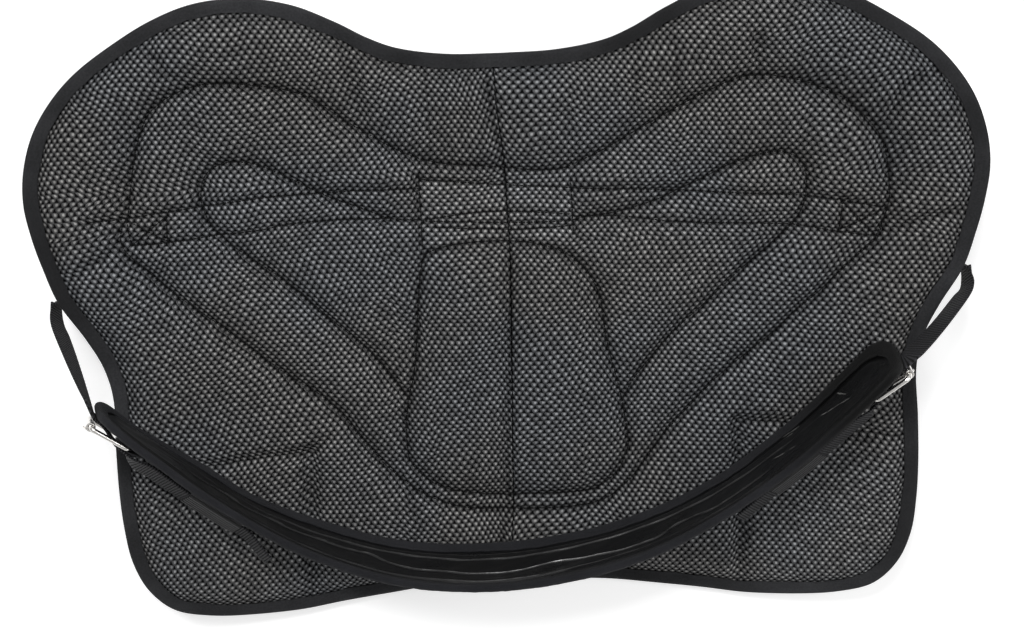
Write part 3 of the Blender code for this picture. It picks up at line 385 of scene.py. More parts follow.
def grid_shell(upper, lower, keep):
    """Closed solid between two height sheets over the kept grid cells."""
    used = np.zeros(upper.shape[:2], bool)
    for part in (used[:-1, :-1], used[1:, :-1], used[:-1, 1:], used[1:, 1:]):
        part |= keep
    count = int(used.sum())
    index = np.full(used.shape, -1)
    index[used] = np.arange(count)
    i, j = np.nonzero(keep)
    a, b, c, d = index[i, j], index[i + 1, j], index[i + 1, j + 1], index[i, j + 1]
    faces = [np.column_stack([a, b, c, d]), np.column_stack([a, d, c, b]) + count]
    padded = np.pad(keep, 1)
    for (di, dj), p, q in (((-1, 0), d, a), ((1, 0), b, c), ((0, -1), a, b), ((0, 1), c, d)):
        rim = ~padded[i + 1 + di, j + 1 + dj]
        faces.append(np.column_stack([q[rim], p[rim], p[rim] + count, q[rim] + count]))
    return np.vstack([upper[used], lower[used]]), np.vstack(faces), used


def add_sheet(name, upper, lower, keep, uv, *args, **more):
    """Closed solid between two sheets, whose points lie at uv when the cloth is flat."""
    verts, faces, used = grid_shell(upper, lower, keep)
    return add_piece(name, verts, faces, *args, uv=np.tile(uv[used], (2, 1)), **more), used


def skin(rows, closed_rows=False, closed_cols=False):
    """Quads over a grid of points given as an array of rows."""
    index = np.arange(rows.shape[0] * rows.shape[1]).reshape(rows.shape[:2])
    a = index if closed_rows else index[:-1]
    b = np.roll(index, -1, axis=0) if closed_rows else index[1:]
    if closed_cols:
        a2, b2 = np.roll(a, -1, axis=1), np.roll(b, -1, axis=1)
    else:
        a, a2, b, b2 = a[:, :-1], a[:, 1:], b[:, :-1], b[:, 1:]
    return rows.reshape(-1, 3), np.stack([a, b, b2, a2], axis=-1).reshape(-1, 4)


# Materials.

# Scratches on the girth's lining: their ends along and across it, in millimetres.
SCRATCHES = [((694, 25), (726, 38)), ((648, 14), (669, 18)), ((622, 2), (676, 14)), ((716, 15), (724, 30)),
             ((640, 30), (664, 38))]
# Ridges where the lining creases: their line along and across it in millimetres, their height, and the
# brightness of the painted highlight on the crest between four places along the girth.
FOLDS = [
    ([(0, 34), (200, 31), (250, 30), (270, 30), (295, 40), (330, 42), (372, 47), (398, 44), (434, 38),
      (514, 47), (543, 37), (581, 46), (640, 42), (700, 40), (779, 38)], 0.0009,
     [(0.075, 0.235, 0.3, 0.56, 0.66), (0.34, 0.33, 0.39, 0.45, 0.52)]),
    ([(0, 17), (120, 16), (301, 14.5), (364, 15.5), (474, 14), (511, 14.5), (640, 16), (779, 17)], 0.0005,
     [(0.055, 0.2, 0.3, 0.56, 0.7)]),
    ([(0, 24), (180, 22), (293, 19.5), (364, 22), (472, 19), (560, 21), (650, 24), (779, 26)], 0.0006,
     [(0.045, 0.15, 0.28, 0.6, 0.74)]),
    ([(0, 60), (300, 61), (365, 63), (433, 60), (468, 56), (560, 60), (640, 61), (779, 60)], 0.0006,
     [(0.085, 0.3, 0.36, 0.46, 0.56)]),
]


class Value:
    """A node's output that takes arithmetic; each step adds a Math node."""

    def __init__(self, nodes, socket):
        self.nodes, self.socket = nodes, socket

    def __add__(self, other):
        return self.nodes.math("ADD", self, other)

    def __sub__(self, other):
        return self.nodes.math("SUBTRACT", self, other)

    def __rsub__(self, other):
        return self.nodes.math("SUBTRACT", other, self)

    def __mul__(self, other):
        return self.nodes.math("MULTIPLY", self, other)

    def __truediv__(self, other):
        return self.nodes.math("DIVIDE", self, other)

    def __pow__(self, other):
        return self.nodes.math("POWER", self, other)

    def __abs__(self):
        return self.nodes.math("ABSOLUTE", self)


class Nodes:
    """Short hand for a material's node tree."""

    def __init__(self, name, roughness=0.6, metallic=0.0, specular=0.5, sheen=0.0):
        self.mat = bpy.data.materials.new(name)
        self.mat.use_nodes = True
        self.tree = self.mat.node_tree
        self.shader = self.tree.nodes["Principled BSDF"]
        self.set("Roughness", roughness)
        self.set("Metallic", metallic)
        self.set("Specular IOR Level", specular)
        self.set("Sheen Weight", sheen)

    def link(self, value, socket):
        if isinstance(value, Value):
            self.tree.links.new(value.socket, socket)
        else:
            socket.default_value = value

    def set(self, socket, value):
        self.link(value, self.shader.inputs[socket])

    def add(self, kind, values, out=0, **settings):
        """A new node; values are for its inputs by name or number. Gives one of its outputs."""
        node = self.tree.nodes.new("ShaderNode" + kind)
        for key, value in settings.items():
            setattr(node, key, value)
        for key, value in values.items():
            self.link(value, node.inputs[key])
        return Value(self, node.outputs[out])

    def math(self, op, *values):
        return self.add("Math", dict(enumerate(values)), operation=op)

    def uv(self):
        uv = self.add("UVMap", {}, uv_map="cloth")
        split = self.add("SeparateXYZ", {0: uv}).socket.node
        return Value(self, split.outputs[0]), Value(self, split.outputs[1]), uv

    def place(self):
        return self.add("TexCoord", {}, "Object")

    def noise(self, vector, scale, detail=2.0, rough=0.5):
        values = {"Vector": vector, "Scale": scale, "Detail": detail, "Roughness": rough}
        return self.add("TexNoise", values, "Fac")

    def join(self, x, y):
        return self.add("CombineXYZ", {0: x, 1: y})

    def step(self, value, low, high, to_low=0.0, to_high=1.0):
        return self.add("MapRange", dict(enumerate((value, low, high, to_low, to_high))),
                        interpolation_type="SMOOTHSTEP")

    def mix(self, fac, a, b):
        a, b = ((*c, 1.0) if isinstance(c, tuple) else c for c in (a, b))
        return self.add("Mix", {0: fac, 6: a, 7: b}, 2, data_type="RGBA")

    def attribute(self, name):
        return self.add("Attribute", {}, "Fac", attribute_name=name)

    def scaled(self, colour, amount):
        return self.add("VectorMath", {0: colour, "Scale": amount}, operation="SCALE")

    def bump(self, height, distance):
        self.set("Normal", self.add("Bump", {"Height": height, "Distance": distance}))

    def finish(self, fac, dark, light, height, distance):
        """Colour between two and relief, as most plain materials need them."""
        self.set("Base Color", self.mix(fac, dark, light))
        self.bump(height, distance)
        return self.mat


def weave_material():
    """Coarse basket weave: rounded floats in staggered rows with black gaps between; the black of the gaps is
    painted shade, and each float has a painted highlight off its centre.
    """
    n = Nodes("horse_side_weave")
    u, v, uv = n.uv()
    for scale_u, scale_v, detail, bend_u, bend_v in ((60.0, 45.0, 1.0, 0.0014, 0.0014),
                                                     (9.0, 11.0, 2.0, 0.016, 0.014)):
        u = u + (n.noise(uv, scale_u, detail) - 0.5) * bend_u
        v = v + (n.noise(n.join(v, u), scale_v, detail) - 0.5) * bend_v
    pu, pv = u * FLOATS[0], v * FLOATS[1]
    domes, highlight_spots, randoms = [], [], []
    for shift in (0.0, 0.5):
        cu, cv = pu + shift, pv + shift
        column, row = n.math("ROUND", cu), n.math("ROUND", cv)
        dx, dy = cu - column, cv - row
        # Each float is a little wider at the front.
        flare = dy * 0.55 + FLOAT_HALF[0]
        domes.append(1.0 - ((abs(dx) / flare) ** 2.5 + (abs(dy) / FLOAT_HALF[1]) ** 2.5))
        # Painted highlight: a lighter spot on each float, set off its centre towards higher u and v.
        highlight_spots.append(1.0 - (((dx - 0.05) / 0.21) ** 2.0 + ((dy - 0.07) / 0.17) ** 2.0))
        randoms.append(n.add("TexWhiteNoise", {"Vector": n.join(column, row + shift)}, "Value",
                             noise_dimensions="2D"))
    dome, shine = n.math("MAXIMUM", *domes), n.math("MAXIMUM", *highlight_spots)
    each = n.mix(n.math("GREATER_THAN", domes[1], domes[0]), *randoms)
    fibres = n.math("SINE", u * (math.tau * 1500)) + n.noise(uv, 2200.0)
    n.bump(n.step(dome, -0.35, 1.0) + fibres * 0.02, 0.001)
    # Painted shade near the sewn lines: colour and specular level fall to half at them.
    near = n.step(n.attribute("seam"), 0.0, 0.005, 0.5, 1.0)
    body = n.mix(each, (0.034, 0.035, 0.037), (0.064, 0.066, 0.069))
    painted_highlight = n.mix(each, (0.13, 0.132, 0.137), (0.3, 0.304, 0.31))
    painted_highlight = n.mix(n.step(n.noise(uv, 14.0, 4.0, 0.6), 0.35, 0.75, 0.0, 0.3), painted_highlight, (0.28, 0.28, 0.275))
    # Painted shade: the gaps between the floats are near black.
    cover = n.step(dome, -0.22, 0.5)
    colour = n.mix(cover, (0.003, 0.003, 0.0032), body)
    # The painted highlight is laid over the float's colour.
    colour = n.mix(n.step(shine, -0.05, 0.85), colour, painted_highlight)
    # The dust on the cloth is warmer in some places than in others.
    tint = n.mix(n.step(n.noise(uv, 6.5), 0.38, 0.62), (1.04, 1.0, 0.95), (0.97, 0.99, 1.02))
    # Painted light and shade: the seam shade and the weave's brightness scale its colour.
    painted_light_colour = n.scaled(colour, near * n.attribute("tone"))
    n.set("Base Color", n.add("VectorMath", {0: tint, 1: painted_light_colour}, operation="MULTIPLY"))
    n.set("Specular IOR Level", n.step(dome, 0.0, 0.7, 0.02, 0.4) * near)
    n.set("Roughness", n.step(cover, 0.0, 1.0, 0.85, 0.45))
    return n.mat


def cloth_material(name, dark, light, pitch=0.0011, depth=0.00018, rough=0.75, ribs=None, spacing=0.0024,
                   valley_shade=0.15, crest=0.7, crest_highlight=0.3, shine=0.2, cloud=0.0):
    """Tight black cloth or webbing, with painted highlights on its raised tops. ribs: "along" or "across"
    adds the webbing's ribs, with painted shade in their valleys.
    """
    n = Nodes(name, specular=shine, sheen=0.03)
    n.set("Sheen Roughness", 0.5)
    u, v, uv = n.uv()
    height = n.math("SINE", u * (math.tau / pitch)) * n.math("SINE", v * (math.tau / pitch))
    fuzz = n.noise(uv, 900.0, 3.0, 0.7)
    grain = n.noise(uv, 520.0, 2.0, 0.6)
    patches = n.step(n.noise(uv, 22.0, 4.0, 0.6), 0.3, 0.75, 0.0, 0.5)
    colour = n.mix(patches + n.step(grain, 0.32, 0.68, 0.0, 0.5), dark, light)
    # Colour of the painted highlights on the raised tops and on the ribs' crests.
    top = tuple(min(1.0, c * 2.4) for c in light)
    if ribs:
        run = (v if ribs == "along" else u) + n.noise(uv, 120.0, 1.0) * 0.0008
        line = abs(n.math("SINE", run * (math.pi / spacing)))
        height = height * 0.3 + line * 2.4
        # Painted shade in the ribs' valleys and painted highlight on their crests.
        colour = n.mix(n.step(line, valley_shade, valley_shade + 0.6), tuple(c * 0.25 for c in dark), colour)
        colour = n.mix(n.step(line, crest, 1.0, 0.0, crest_highlight), colour, top)
        n.set("Roughness", n.step(line, 0.2, 0.9, 0.85, rough))
    else:
        height = height + fuzz * 1.5
        colour = n.mix(n.step(height, 0.6, 2.2, 0.0, crest_highlight), colour, top)
        n.set("Roughness", n.step(grain, 0.3, 0.7, rough, min(1.0, rough + 0.12)))
    # Painted shade towards the girth's right end, on the pieces that carry it.
    end_shade = n.step(n.attribute("end_shade"), 0.0, 1.0, 1.0, 0.04)
    faded = n.step(n.noise(uv, 6.0), 0.3, 0.7, 1 - cloud, 1 + cloud)
    n.set("Base Color", n.scaled(colour, end_shade * faded))
    n.bump(height + fuzz, depth)
    return n.mat


def smooth_material():
    """Smooth satin neoprene skin with fine scuffs and a few longer scratches, painted highlights along the
    crests of its folds and painted shade towards the girth's right end.
    """
    n = Nodes("girth_smooth_skin", specular=0.5)
    u, v, uv = n.uv()
    scuff = n.noise(n.join(u * 0.35, v), 420.0, 5.0, 0.65)
    cloud = n.noise(uv, 18.0, 3.0)
    crease = n.noise(n.join(u * 0.22, v), 95.0)
    wobble = (n.noise(uv, 130.0) - 0.5) * 0.003
    scratch = 0.0
    for points in SCRATCHES:
        (u0, v0), (u1, v1) = ((x / 1000, y / 1000) for x, y in points)
        long = math.hypot(u1 - u0, v1 - v0)
        cu, cv = (u1 - u0) / long, (v1 - v0) / long
        pu, pv = u - u0, v - v0
        t = pu * cu + pv * cv
        d = abs(abs(pv * cu - pu * cv) + wobble)
        here = n.step(t, 0.0, 0.004) * n.step(t, long - 0.004, long, 1.0, 0.0)
        scratch = n.math("MAXIMUM", scratch, here * n.step(d, 0.0001, 0.0006, 1.0, 0.0))
    base = n.mix(n.step(scuff, 0.58, 0.8), (0.005, 0.005, 0.0054), (0.022, 0.022, 0.022))
    broken = n.step(n.noise(n.join(u, 0.0), 70.0, 4.0, 0.7), 0.35, 0.62, 0.25, 1.0)
    # Painted highlights along the crests of the folds, broken up along the girth.
    for number, fold in enumerate(FOLDS):
        near = n.step(abs(n.attribute("fold_%d" % number)), 0.0001, 0.0007, 1.0, 0.0)
        for light, start, full, fading, end in fold[2]:
            here = n.step(u, start, full) * n.step(u, fading, end, 1.0, 0.0)
            base = n.mix(near * (here * broken), base, (light, light, light))
    # Painted shade towards the girth's right end.
    base = n.scaled(base, n.step(n.attribute("end_shade"), 0.0, 1.0, 1.0, 0.3))
    n.set("Base Color", n.mix(scratch * 0.8, base, (0.16, 0.16, 0.155)))
    n.set("Roughness", n.step(scuff * 0.5 + cloud * 0.5, 0.3, 0.7, 0.24, 0.42))
    n.bump(scuff * 0.25 + crease * 0.9 + cloud, 0.0005)
    return n.mat


def neoprene_material():
    """Black knit face over closed-cell rubber on the rider side."""
    n = Nodes("rider_side_neoprene", roughness=0.78, specular=0.3, sheen=0.2)
    n.set("Sheen Roughness", 0.45)
    u, v, uv = n.uv()
    knit = n.math("SINE", u * (math.tau / 0.0013)) * n.math("SINE", v * (math.tau / 0.0009))
    tone = n.step(n.noise(uv, 9.0, 4.0, 0.6), 0.3, 0.75)
    return n.finish(tone, (0.018, 0.019, 0.021), (0.027, 0.028, 0.031), knit + n.noise(uv, 700.0, 3.0),
                    0.00012)


def suede_material():
    """Brushed suede of the seat overlay."""
    n = Nodes("seat_suede", roughness=0.92, specular=0.2, sheen=0.45)
    n.set("Sheen Roughness", 0.4)
    uv = n.uv()[2]
    brushed = n.noise(uv, 24.0, 4.0, 0.6)
    return n.finish(n.step(brushed, 0.3, 0.7), (0.026, 0.025, 0.024), (0.046, 0.044, 0.042),
                    n.noise(uv, 1100.0, 4.0, 0.7) + brushed * 0.6, 0.0003)


def foam_material():
    """Cut closed-cell foam."""
    n = Nodes("closed_cell_foam", roughness=0.9, specular=0.3)
    cell = n.add("TexVoronoi", {"Vector": n.place(), "Scale": 1400.0}, "Distance")
    return n.finish(cell, (0.13, 0.13, 0.135), (0.09, 0.09, 0.093), cell, 0.0003)


def steel_material():
    """Polished nickel plate with fine scratches and dull spots."""
    n = Nodes("polished_nickel", metallic=1.0)
    where = n.place()
    spot = n.noise(where, 160.0, 3.0)
    n.set("Base Color", n.mix(n.step(spot, 0.35, 0.75), (0.9, 0.88, 0.85), (0.7, 0.68, 0.65)))
    n.set("Roughness", n.step(spot, 0.3, 0.8, 0.16, 0.34))
    stretched = n.add("Mapping", {"Vector": where, "Scale": (1.0, 1.0, 6.0)})
    n.bump(n.noise(stretched, 900.0, 4.0, 0.7), 0.00006)
    return n.mat


def thread_material():
    """Black sewing thread."""
    n = Nodes("black_thread", roughness=0.8, specular=0.12)
    twist = n.noise(n.place(), 1500.0)
    return n.finish(twist, (0.002, 0.002, 0.0021), (0.006, 0.006, 0.0062), twist, 0.0001)


WEAVE = weave_material()
TAPE = cloth_material("edge_tape_cloth", (0.009, 0.0092, 0.0102), (0.031, 0.0315, 0.034), 0.001, cloud=0.45)
GIRTH_TAPE = cloth_material("girth_tape_cloth", (0.006, 0.0062, 0.008), (0.019, 0.0195, 0.023), 0.0009)
COVER = cloth_material("girth_shell_cloth", (0.006, 0.0063, 0.0078), (0.0175, 0.018, 0.021), 0.001)
WEBBING = cloth_material("ribbed_webbing", (0.0036, 0.0036, 0.0041), (0.015, 0.015, 0.0168), 0.0009,
                         0.00032, 0.62, "across", spacing=0.0025, crest=0.55, crest_highlight=0.85)
FLAT_WEB = cloth_material("strap_webbing", (0.005, 0.005, 0.0055), (0.016, 0.016, 0.0175), 0.0009,
                          0.00025, 0.65, "along", crest_highlight=0.35)
ELASTIC = cloth_material("ribbed_elastic", (0.0012, 0.0012, 0.0014), (0.024, 0.024, 0.026), 0.0008,
                         0.00045, 0.34, "along", KEEPER_RIB, valley_shade=0.6, crest=0.88, crest_highlight=0.95, shine=0.45)
NEOPRENE, SMOOTH, SUEDE = neoprene_material(), smooth_material(), suede_material()
FOAM, STEEL, THREAD = foam_material(), steel_material(), thread_material()


# The pad's outline and height field.

right_half = mm(PAD_OUTLINE, 12)
outline = np.vstack([right_half[::-1] * [-1, 1], right_half[1:-1]])[::-1]
outline = anticlockwise(resample(outline, LOOP_STEP, closed=True))

XS = np.arange(-GRID_X, GRID_X + 1) * STEP
YS = np.arange(-GRID_BACK, GRID_FRONT + 1) * STEP
X, Y = np.meshgrid(XS, YS, indexing="ij")


def line_distance(line, reach=0.07):
    """Distance of every grid point to a polyline, read only within reach of it."""
    best = np.full(X.shape, reach)
    for (ax, ay), (bx, by) in zip(line, line[1:]):
        i0, i1 = np.searchsorted(XS, (min(ax, bx) - reach, max(ax, bx) + reach))
        j0, j1 = np.searchsorted(YS, (min(ay, by) - reach, max(ay, by) + reach))
        x, y = X[i0:i1, j0:j1] - ax, Y[i0:i1, j0:j1] - ay
        dx, dy = bx - ax, by - ay
        t = np.clip((x * dx + y * dy) / max(dx * dx + dy * dy, 1e-12), 0, 1)
        window = best[i0:i1, j0:j1]
        np.minimum(window, np.hypot(x - t * dx, y - t * dy), out=window)
    return best


def inside_loop(loop, x, y):
    """Which points lie inside a closed loop."""
    inside = np.zeros(x.shape, bool)
    for (ax, ay), (bx, by) in zip(loop, np.roll(loop, -1, axis=0)):
        if ay != by:
            inside ^= ((ay > y) != (by > y)) & (x < ax + (y - ay) * (bx - ax) / (by - ay))
    return inside


def puff_field(length, ring):
    """How full the quilting is, 0 at the sewn lines and the rim to 1: a taut membrane."""
    rim = np.maximum(EDGE - ring, 0.0)
    value = np.minimum(1 - np.exp(-D_DEEP / length), 1 - np.exp(-rim / (length * 1.15)))
    fixed = (D_DEEP < HELD_AT_SEAM) | (rim < HELD_AT_RIM)
    p = value
    k = (STEP / length) ** 2
    for _ in range(ROUNDS):
        total = (np.roll(p, 1, 0) + np.roll(p, -1, 0) + np.roll(p, 1, 1) + np.roll(p, -1, 1) + k) / (4 + k)
        p = np.where(fixed, value, total)
    return p


def box_mask(x0, x1, y0, y1, soft):
    """1 inside a box and 0 outside it, with soft sides."""
    value = 1.0
    for past in (X - x0, x1 - X, Y - y0, y1 - Y):
        value = value * ease(past / soft + 0.5, 0, 1)
    return value


def spot(x, y, size):
    return np.exp(-((X - x) ** 2 + (Y - y) ** 2) / size ** 2)


def sample(field, x, y):
    """Bilinear value of a grid field."""
    fx = np.clip((x - XS[0]) / STEP, 0, len(XS) - 1.001)
    fy = np.clip((y - YS[0]) / STEP, 0, len(YS) - 1.001)
    i, j = fx.astype(int), fy.astype(int)
    a, b = fx - i, fy - j
    return ((field[i, j] * (1 - a) + field[i + 1, j] * a) * (1 - b)
            + (field[i, j + 1] * (1 - a) + field[i + 1, j + 1] * a) * b)


EDGE = line_distance(np.vstack([outline, outline[:1]]))
EDGE = np.where(inside_loop(outline, X, Y), EDGE, -EDGE)
DEEP_LINES = [mm(line) for line in DEEP]
SPINE_LINE = mm(SPINE)
D_DEEP = np.min([line_distance(line) for line in DEEP_LINES], axis=0)
D_SPINE = line_distance(SPINE_LINE)

PUFF = puff_field(PUFF_LENGTH, TAPE_W)
D_SEWN = np.minimum(np.minimum(D_DEEP, D_SPINE * 1.5), np.maximum(EDGE - TAPE_W, 0) * 1.6 + 0.001)
D_FINE = np.full(X.shape, 0.02)
for number, (points, depth, width) in enumerate(SHALLOW):
    away = line_distance(mm(points, 6), 0.04)
    PUFF = PUFF * (1 - depth * bell(away * 1000, 0, width))
    fine = number >= len(SHALLOW) - FINE_LINES
    D_SEWN = np.minimum(D_SEWN, away * 1.5 + (0.0003 if fine else 0.0012))
    if fine:
        D_FINE = np.minimum(D_FINE, away)
PATCH_SHOWN = box_mask(*PATCH_BOX)
PUFF = PUFF * (1 - SPINE_PRESS * bell(D_SPINE, 0, 0.006)) * (1 - PATCH_PRESS * PATCH_SHOWN)
across = np.abs(Y - place_on(BAND_PLACE, X))
in_strap = np.clip(1 - (across / (STRAP_W / 2)) ** 4, 0, 1) * (np.abs(X) < BAND_PLACE[-1][0] / 1000)
PUFF = PUFF * (1 - STRAP_PRESS * in_strap)

# Slow unevenness of hand-cut foam.
wave = (np.sin(X * 47 + 1.3) * np.sin(Y * 61 + 0.4) + np.sin(X * 83 - Y * 39 + 2.0)
        + 0.7 * np.sin(X * 131 + Y * 97)) / 2.7
H_TOP = GROOVE_H - RIM_DIP * np.exp(-np.maximum(EDGE - TAPE_W, 0) / RIM_DIP_W)
H_TOP = H_TOP + (PAD_HIGH - GROOVE_H) * PUFF * (1 - UNEVEN + UNEVEN * wave)
H_TOP = H_TOP - FINE_DIP * np.exp(-D_FINE / FINE_DIP_W)
H_TOP = np.where(EDGE < TAPE_W, EDGE_HIGH, H_TOP)

# Brightness of the weave: lighter on the middle patch; painted light and shade make it lighter towards the
# right rear and darker near the front, at the right front and in the middle.
TONE = (1 + 0.32 * PATCH_SHOWN - 0.14 * np.clip((Y - 0.12) / 0.06, 0, 1)
        - 0.14 * spot(0.33, 0.14, 0.09) + 0.13 * spot(0.26, -0.22, 0.1) - 0.06 * spot(0.0, -0.03, 0.08))


def build_horse_side():
    """Both woven panels, split at the seam along the spine."""
    zx, zy = np.gradient(H_TOP, STEP)
    stretch_x = np.cumsum(np.sqrt(1 + zx ** 2) - 1, axis=0) * STEP
    stretch_y = np.cumsum(np.sqrt(1 + zy ** 2) - 1, axis=1) * STEP
    mid, row = np.argmin(np.abs(XS)), np.argmin(np.abs(YS - 0.09))
    u = X + (stretch_x - stretch_x[mid:mid + 1, :]) * STRETCH
    v = Y + (stretch_y - stretch_y[:, row:row + 1]) * STRETCH
    seam = bell(X, 0, 0.03) * np.interp(YS, SPINE_LINE[::-1, 1], SPINE_LINE[::-1, 0])
    at_seam = np.abs(X) < STEP * 0.4
    top = np.where(at_seam, H_TOP - SPINE_DIP, H_TOP)
    low = np.maximum(top - UNDERSIDE_T + GAP, UNDER_LOW)
    whole = whole_cells(EDGE > WOVEN_MARGIN)
    cell_x = ((XS[:-1] + XS[1:]) / 2)[:, None]
    for side, sign, turn in (("left", -1, 1.1), ("right", 1, -1.3)):
        px = np.where(at_seam, X + seam + sign * SPINE_GAP, X + seam)
        c, s = math.cos(math.radians(turn)), math.sin(math.radians(turn))
        uv = np.stack([u * c + v * s, v * c - u * s], axis=-1) + [0.0021 * sign, 0.0013 * sign]
        panel, used = add_sheet("woven_panel_" + side, on_pad(px, Y, top), on_pad(px, Y, low),
                                whole & (cell_x * sign > 0), uv, WEAVE, "pad", "grip_weave",
                                ["underside_" + side], angle=60, fill=0.7)
        # Distance to the sewn lines, which paints shade on the weave beside them.
        mark(panel, "seam", D_SEWN[used], 2)
        # Brightness of the weave, with painted light and shade.
        mark(panel, "tone", TONE[used], 2)


def build_cores():
    """The closed-cell foam cells, kept just under the woven panels."""
    for name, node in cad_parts.items():
        if not name.startswith("foam_"):
            continue
        obj = new_object("core" + name[4:], node.data.copy())
        smooth = obj.modifiers.new("round", "SUBSURF")
        smooth.levels = smooth.render_levels = 2
        deps = bpy.context.evaluated_depsgraph_get()
        baked = bpy.data.meshes.new_from_object(obj.evaluated_get(deps))
        obj.modifiers.clear()
        obj.data = baked
        v = np.empty(len(baked.vertices) * 3)
        baked.vertices.foreach_get("co", v)
        x, y, z = v.reshape(-1, 3).T
        floor = ground(x)
        low = floor + UNDER_LOW
        high = floor + sample(H_TOP, x, y) - UNDERSIDE_T - GAP
        t = np.clip((z - low) / 0.004, 0.3, 1)
        v[2::3] = np.where(z > high, low + np.maximum((high - low) * t, 0.0002), z)
        baked.vertices.foreach_set("co", v)
        baked.materials.clear()
        baked.materials.append(FOAM)
        baked.shade_smooth()
        baked.name = obj.name
        declare(obj, "pad", [name])


def build_cover():
    """Neoprene layer of the rider side, drawn up a little along the quilting; gives its lower heights."""
    pull = np.max([bell(line_distance(line, 0.03), 0, 0.0035) for line in DEEP_LINES], axis=0)
    t = ease((TAPE_W + 0.012 - EDGE) / 0.012, 0, 1)
    low = COVER_LOW + 0.0009 * pull * (1 - t) + (EDGE_LOW - COVER_LOW) * t
    high = COVER_HIGH + (EDGE_MID - COVER_HIGH) * t
    # Every second point of the grid is enough here.
    x, y, edge, top, bottom = (field[::2, ::2] for field in (X, Y, EDGE, high, low))
    add_sheet("rider_side_cover", on_pad(x, y, top), on_pad(x, y, bottom), whole_cells(edge > COVER_MARGIN),
              np.stack([x, y], axis=-1), NEOPRENE, "pad", "neoprene", ["top_cover"], angle=60, fill=0.3)
    return low


def swept_tape(name, loop, put, low, high, width, thick, mat, body, nodes, seed, crown=0.0004):
    """Tape folded round an edge, a little uneven in width and fullness."""
    noise = [smooth_noise(len(loop), span, seed + k) for k, span in enumerate((9, 3, 6, 1.6))]
    wide = width + 0.0005 * noise[0] + 0.0004 * noise[1]
    full, ripple = 1 + 0.6 * noise[2], 0.00018 * noise[3]
    inner_high, inner_low = high + TAPE_EASE, low - TAPE_EASE
    top, bottom = inner_high + thick, inner_low - thick
    mid, half = (top + bottom) / 2, (top - bottom) / 2
    # How far in from the edge and how high each line of the tape's section runs.
    upper, lower = [], []
    for f in (1.0, 0.93, 0.86, 0.72, 0.55, 0.38, 0.26):
        swell = crown * (1 - ((f - 0.55) / 0.45) ** 2)
        sewn = 0.00035 if f == 0.86 else 0.0
        upper.append((wide * f, top + (swell - sewn) * full + ripple))
        lower.append((wide * f, bottom + (sewn - swell * 0.4) * full))
    turn = [(half * 0.95 * (1 - math.cos(a)), mid + half * math.sin(a) * 0.97 / math.sin(math.radians(75)))
            for a in np.radians(range(60, -61, -20))]
    inner = [(wide, inner_low), (thick, inner_low), (thick, inner_high), (wide, inner_high)]
    inward = inward_of(loop)
    rows = []
    for e, h in upper + turn + lower[::-1] + inner:
        x, y = (loop + inward * np.reshape(e, (-1, 1))).T
        rows.append(put(x, y, h))
    rows = np.stack(rows, axis=1)
    verts, faces = skin(rows, closed_rows=True, closed_cols=True)
    s = np.arange(len(loop)) * np.linalg.norm(loop[1] - loop[0])
    return add_piece(name, verts, faces, mat, body, "tape", nodes, uv=flat(s, spread(rows)).reshape(-1, 2),
                     angle=70)


def stitches(name, paths, body, slot="webbing", pitch=0.0032, long=0.003, radius=0.00045, sides=6):
    """Rows of thread stitches. Each path is a pair of points and surface normals."""
    rings = [(-1.0, 0.35), (-0.55, 0.95), (0.0, 1.15), (0.55, 0.95), (1.0, 0.35)]
    last = (len(rings) - 1) * sides
    one = [(r + q, r + (q + 1) % sides, r + (q + 1) % sides + sides, r + q + sides)
           for r in range(0, last, sides) for q in range(sides)]
    one += [tuple(range(sides))[::-1], tuple(range(last, last + sides))]
    verts = []
    for points, normals in paths:
        at = spread(points[None])
        count = int(at[-1] / pitch)
        s = (np.arange(count) + 0.5) * at[-1] / count
        p = along_line(points, at, s)
        t = unit(along_line(points, at, s + 0.001) - along_line(points, at, s - 0.001))
        side = unit(np.cross(t, along_line(normals, at, s)))
        nor = np.cross(side, t)
        thread = [p + t * (f * long / 2) + nor * radius * (0.75 - 0.75 * f * f)
                  + (side * math.cos(a) + nor * math.sin(a)) * radius * r
                  for f, r in rings for a in circle(sides)]
        verts.append(np.stack(thread, axis=1).reshape(-1, 3))
    verts = np.vstack(verts)
    faces = [[i + base for i in face] for base in range(0, len(verts), last + sides) for face in one]
    add_piece(name, verts, faces, THREAD, body, slot)


def sewn_path(line, field, up):
    """The part of a sewn line inside the binding, laid on a sheet of the pad, with normals."""
    line = resample(line, FINE_STEP)
    line = resample(line[sample(EDGE, *line.T) > SEW_MARGIN], SEW_STEP)
    return on_pad(*line.T, sample(field, *line.T)), np.tile([0, 0, up], (len(line), 1))


build_horse_side()
build_cores()
cover_low = build_cover()
swept_tape("pad_edge_tape", outline, on_pad, EDGE_LOW, EDGE_HIGH, TAPE_W, TAPE_T, TAPE, "pad",
           ["edge_binding"], 21)
quilting = DEEP_LINES + [mm(crease[0], 6) for crease in SHALLOW[-FINE_LINES:]]
stitches("horse_side_stitches", [sewn_path(line, H_TOP, 1.0) for line in quilting], "pad", "grip_weave")
stitches("rider_side_stitches", [sewn_path(line, cover_low, -1.0) for line in DEEP_LINES], "pad", "neoprene")


# Rider side: seat overlay, strap, patch and tabs.

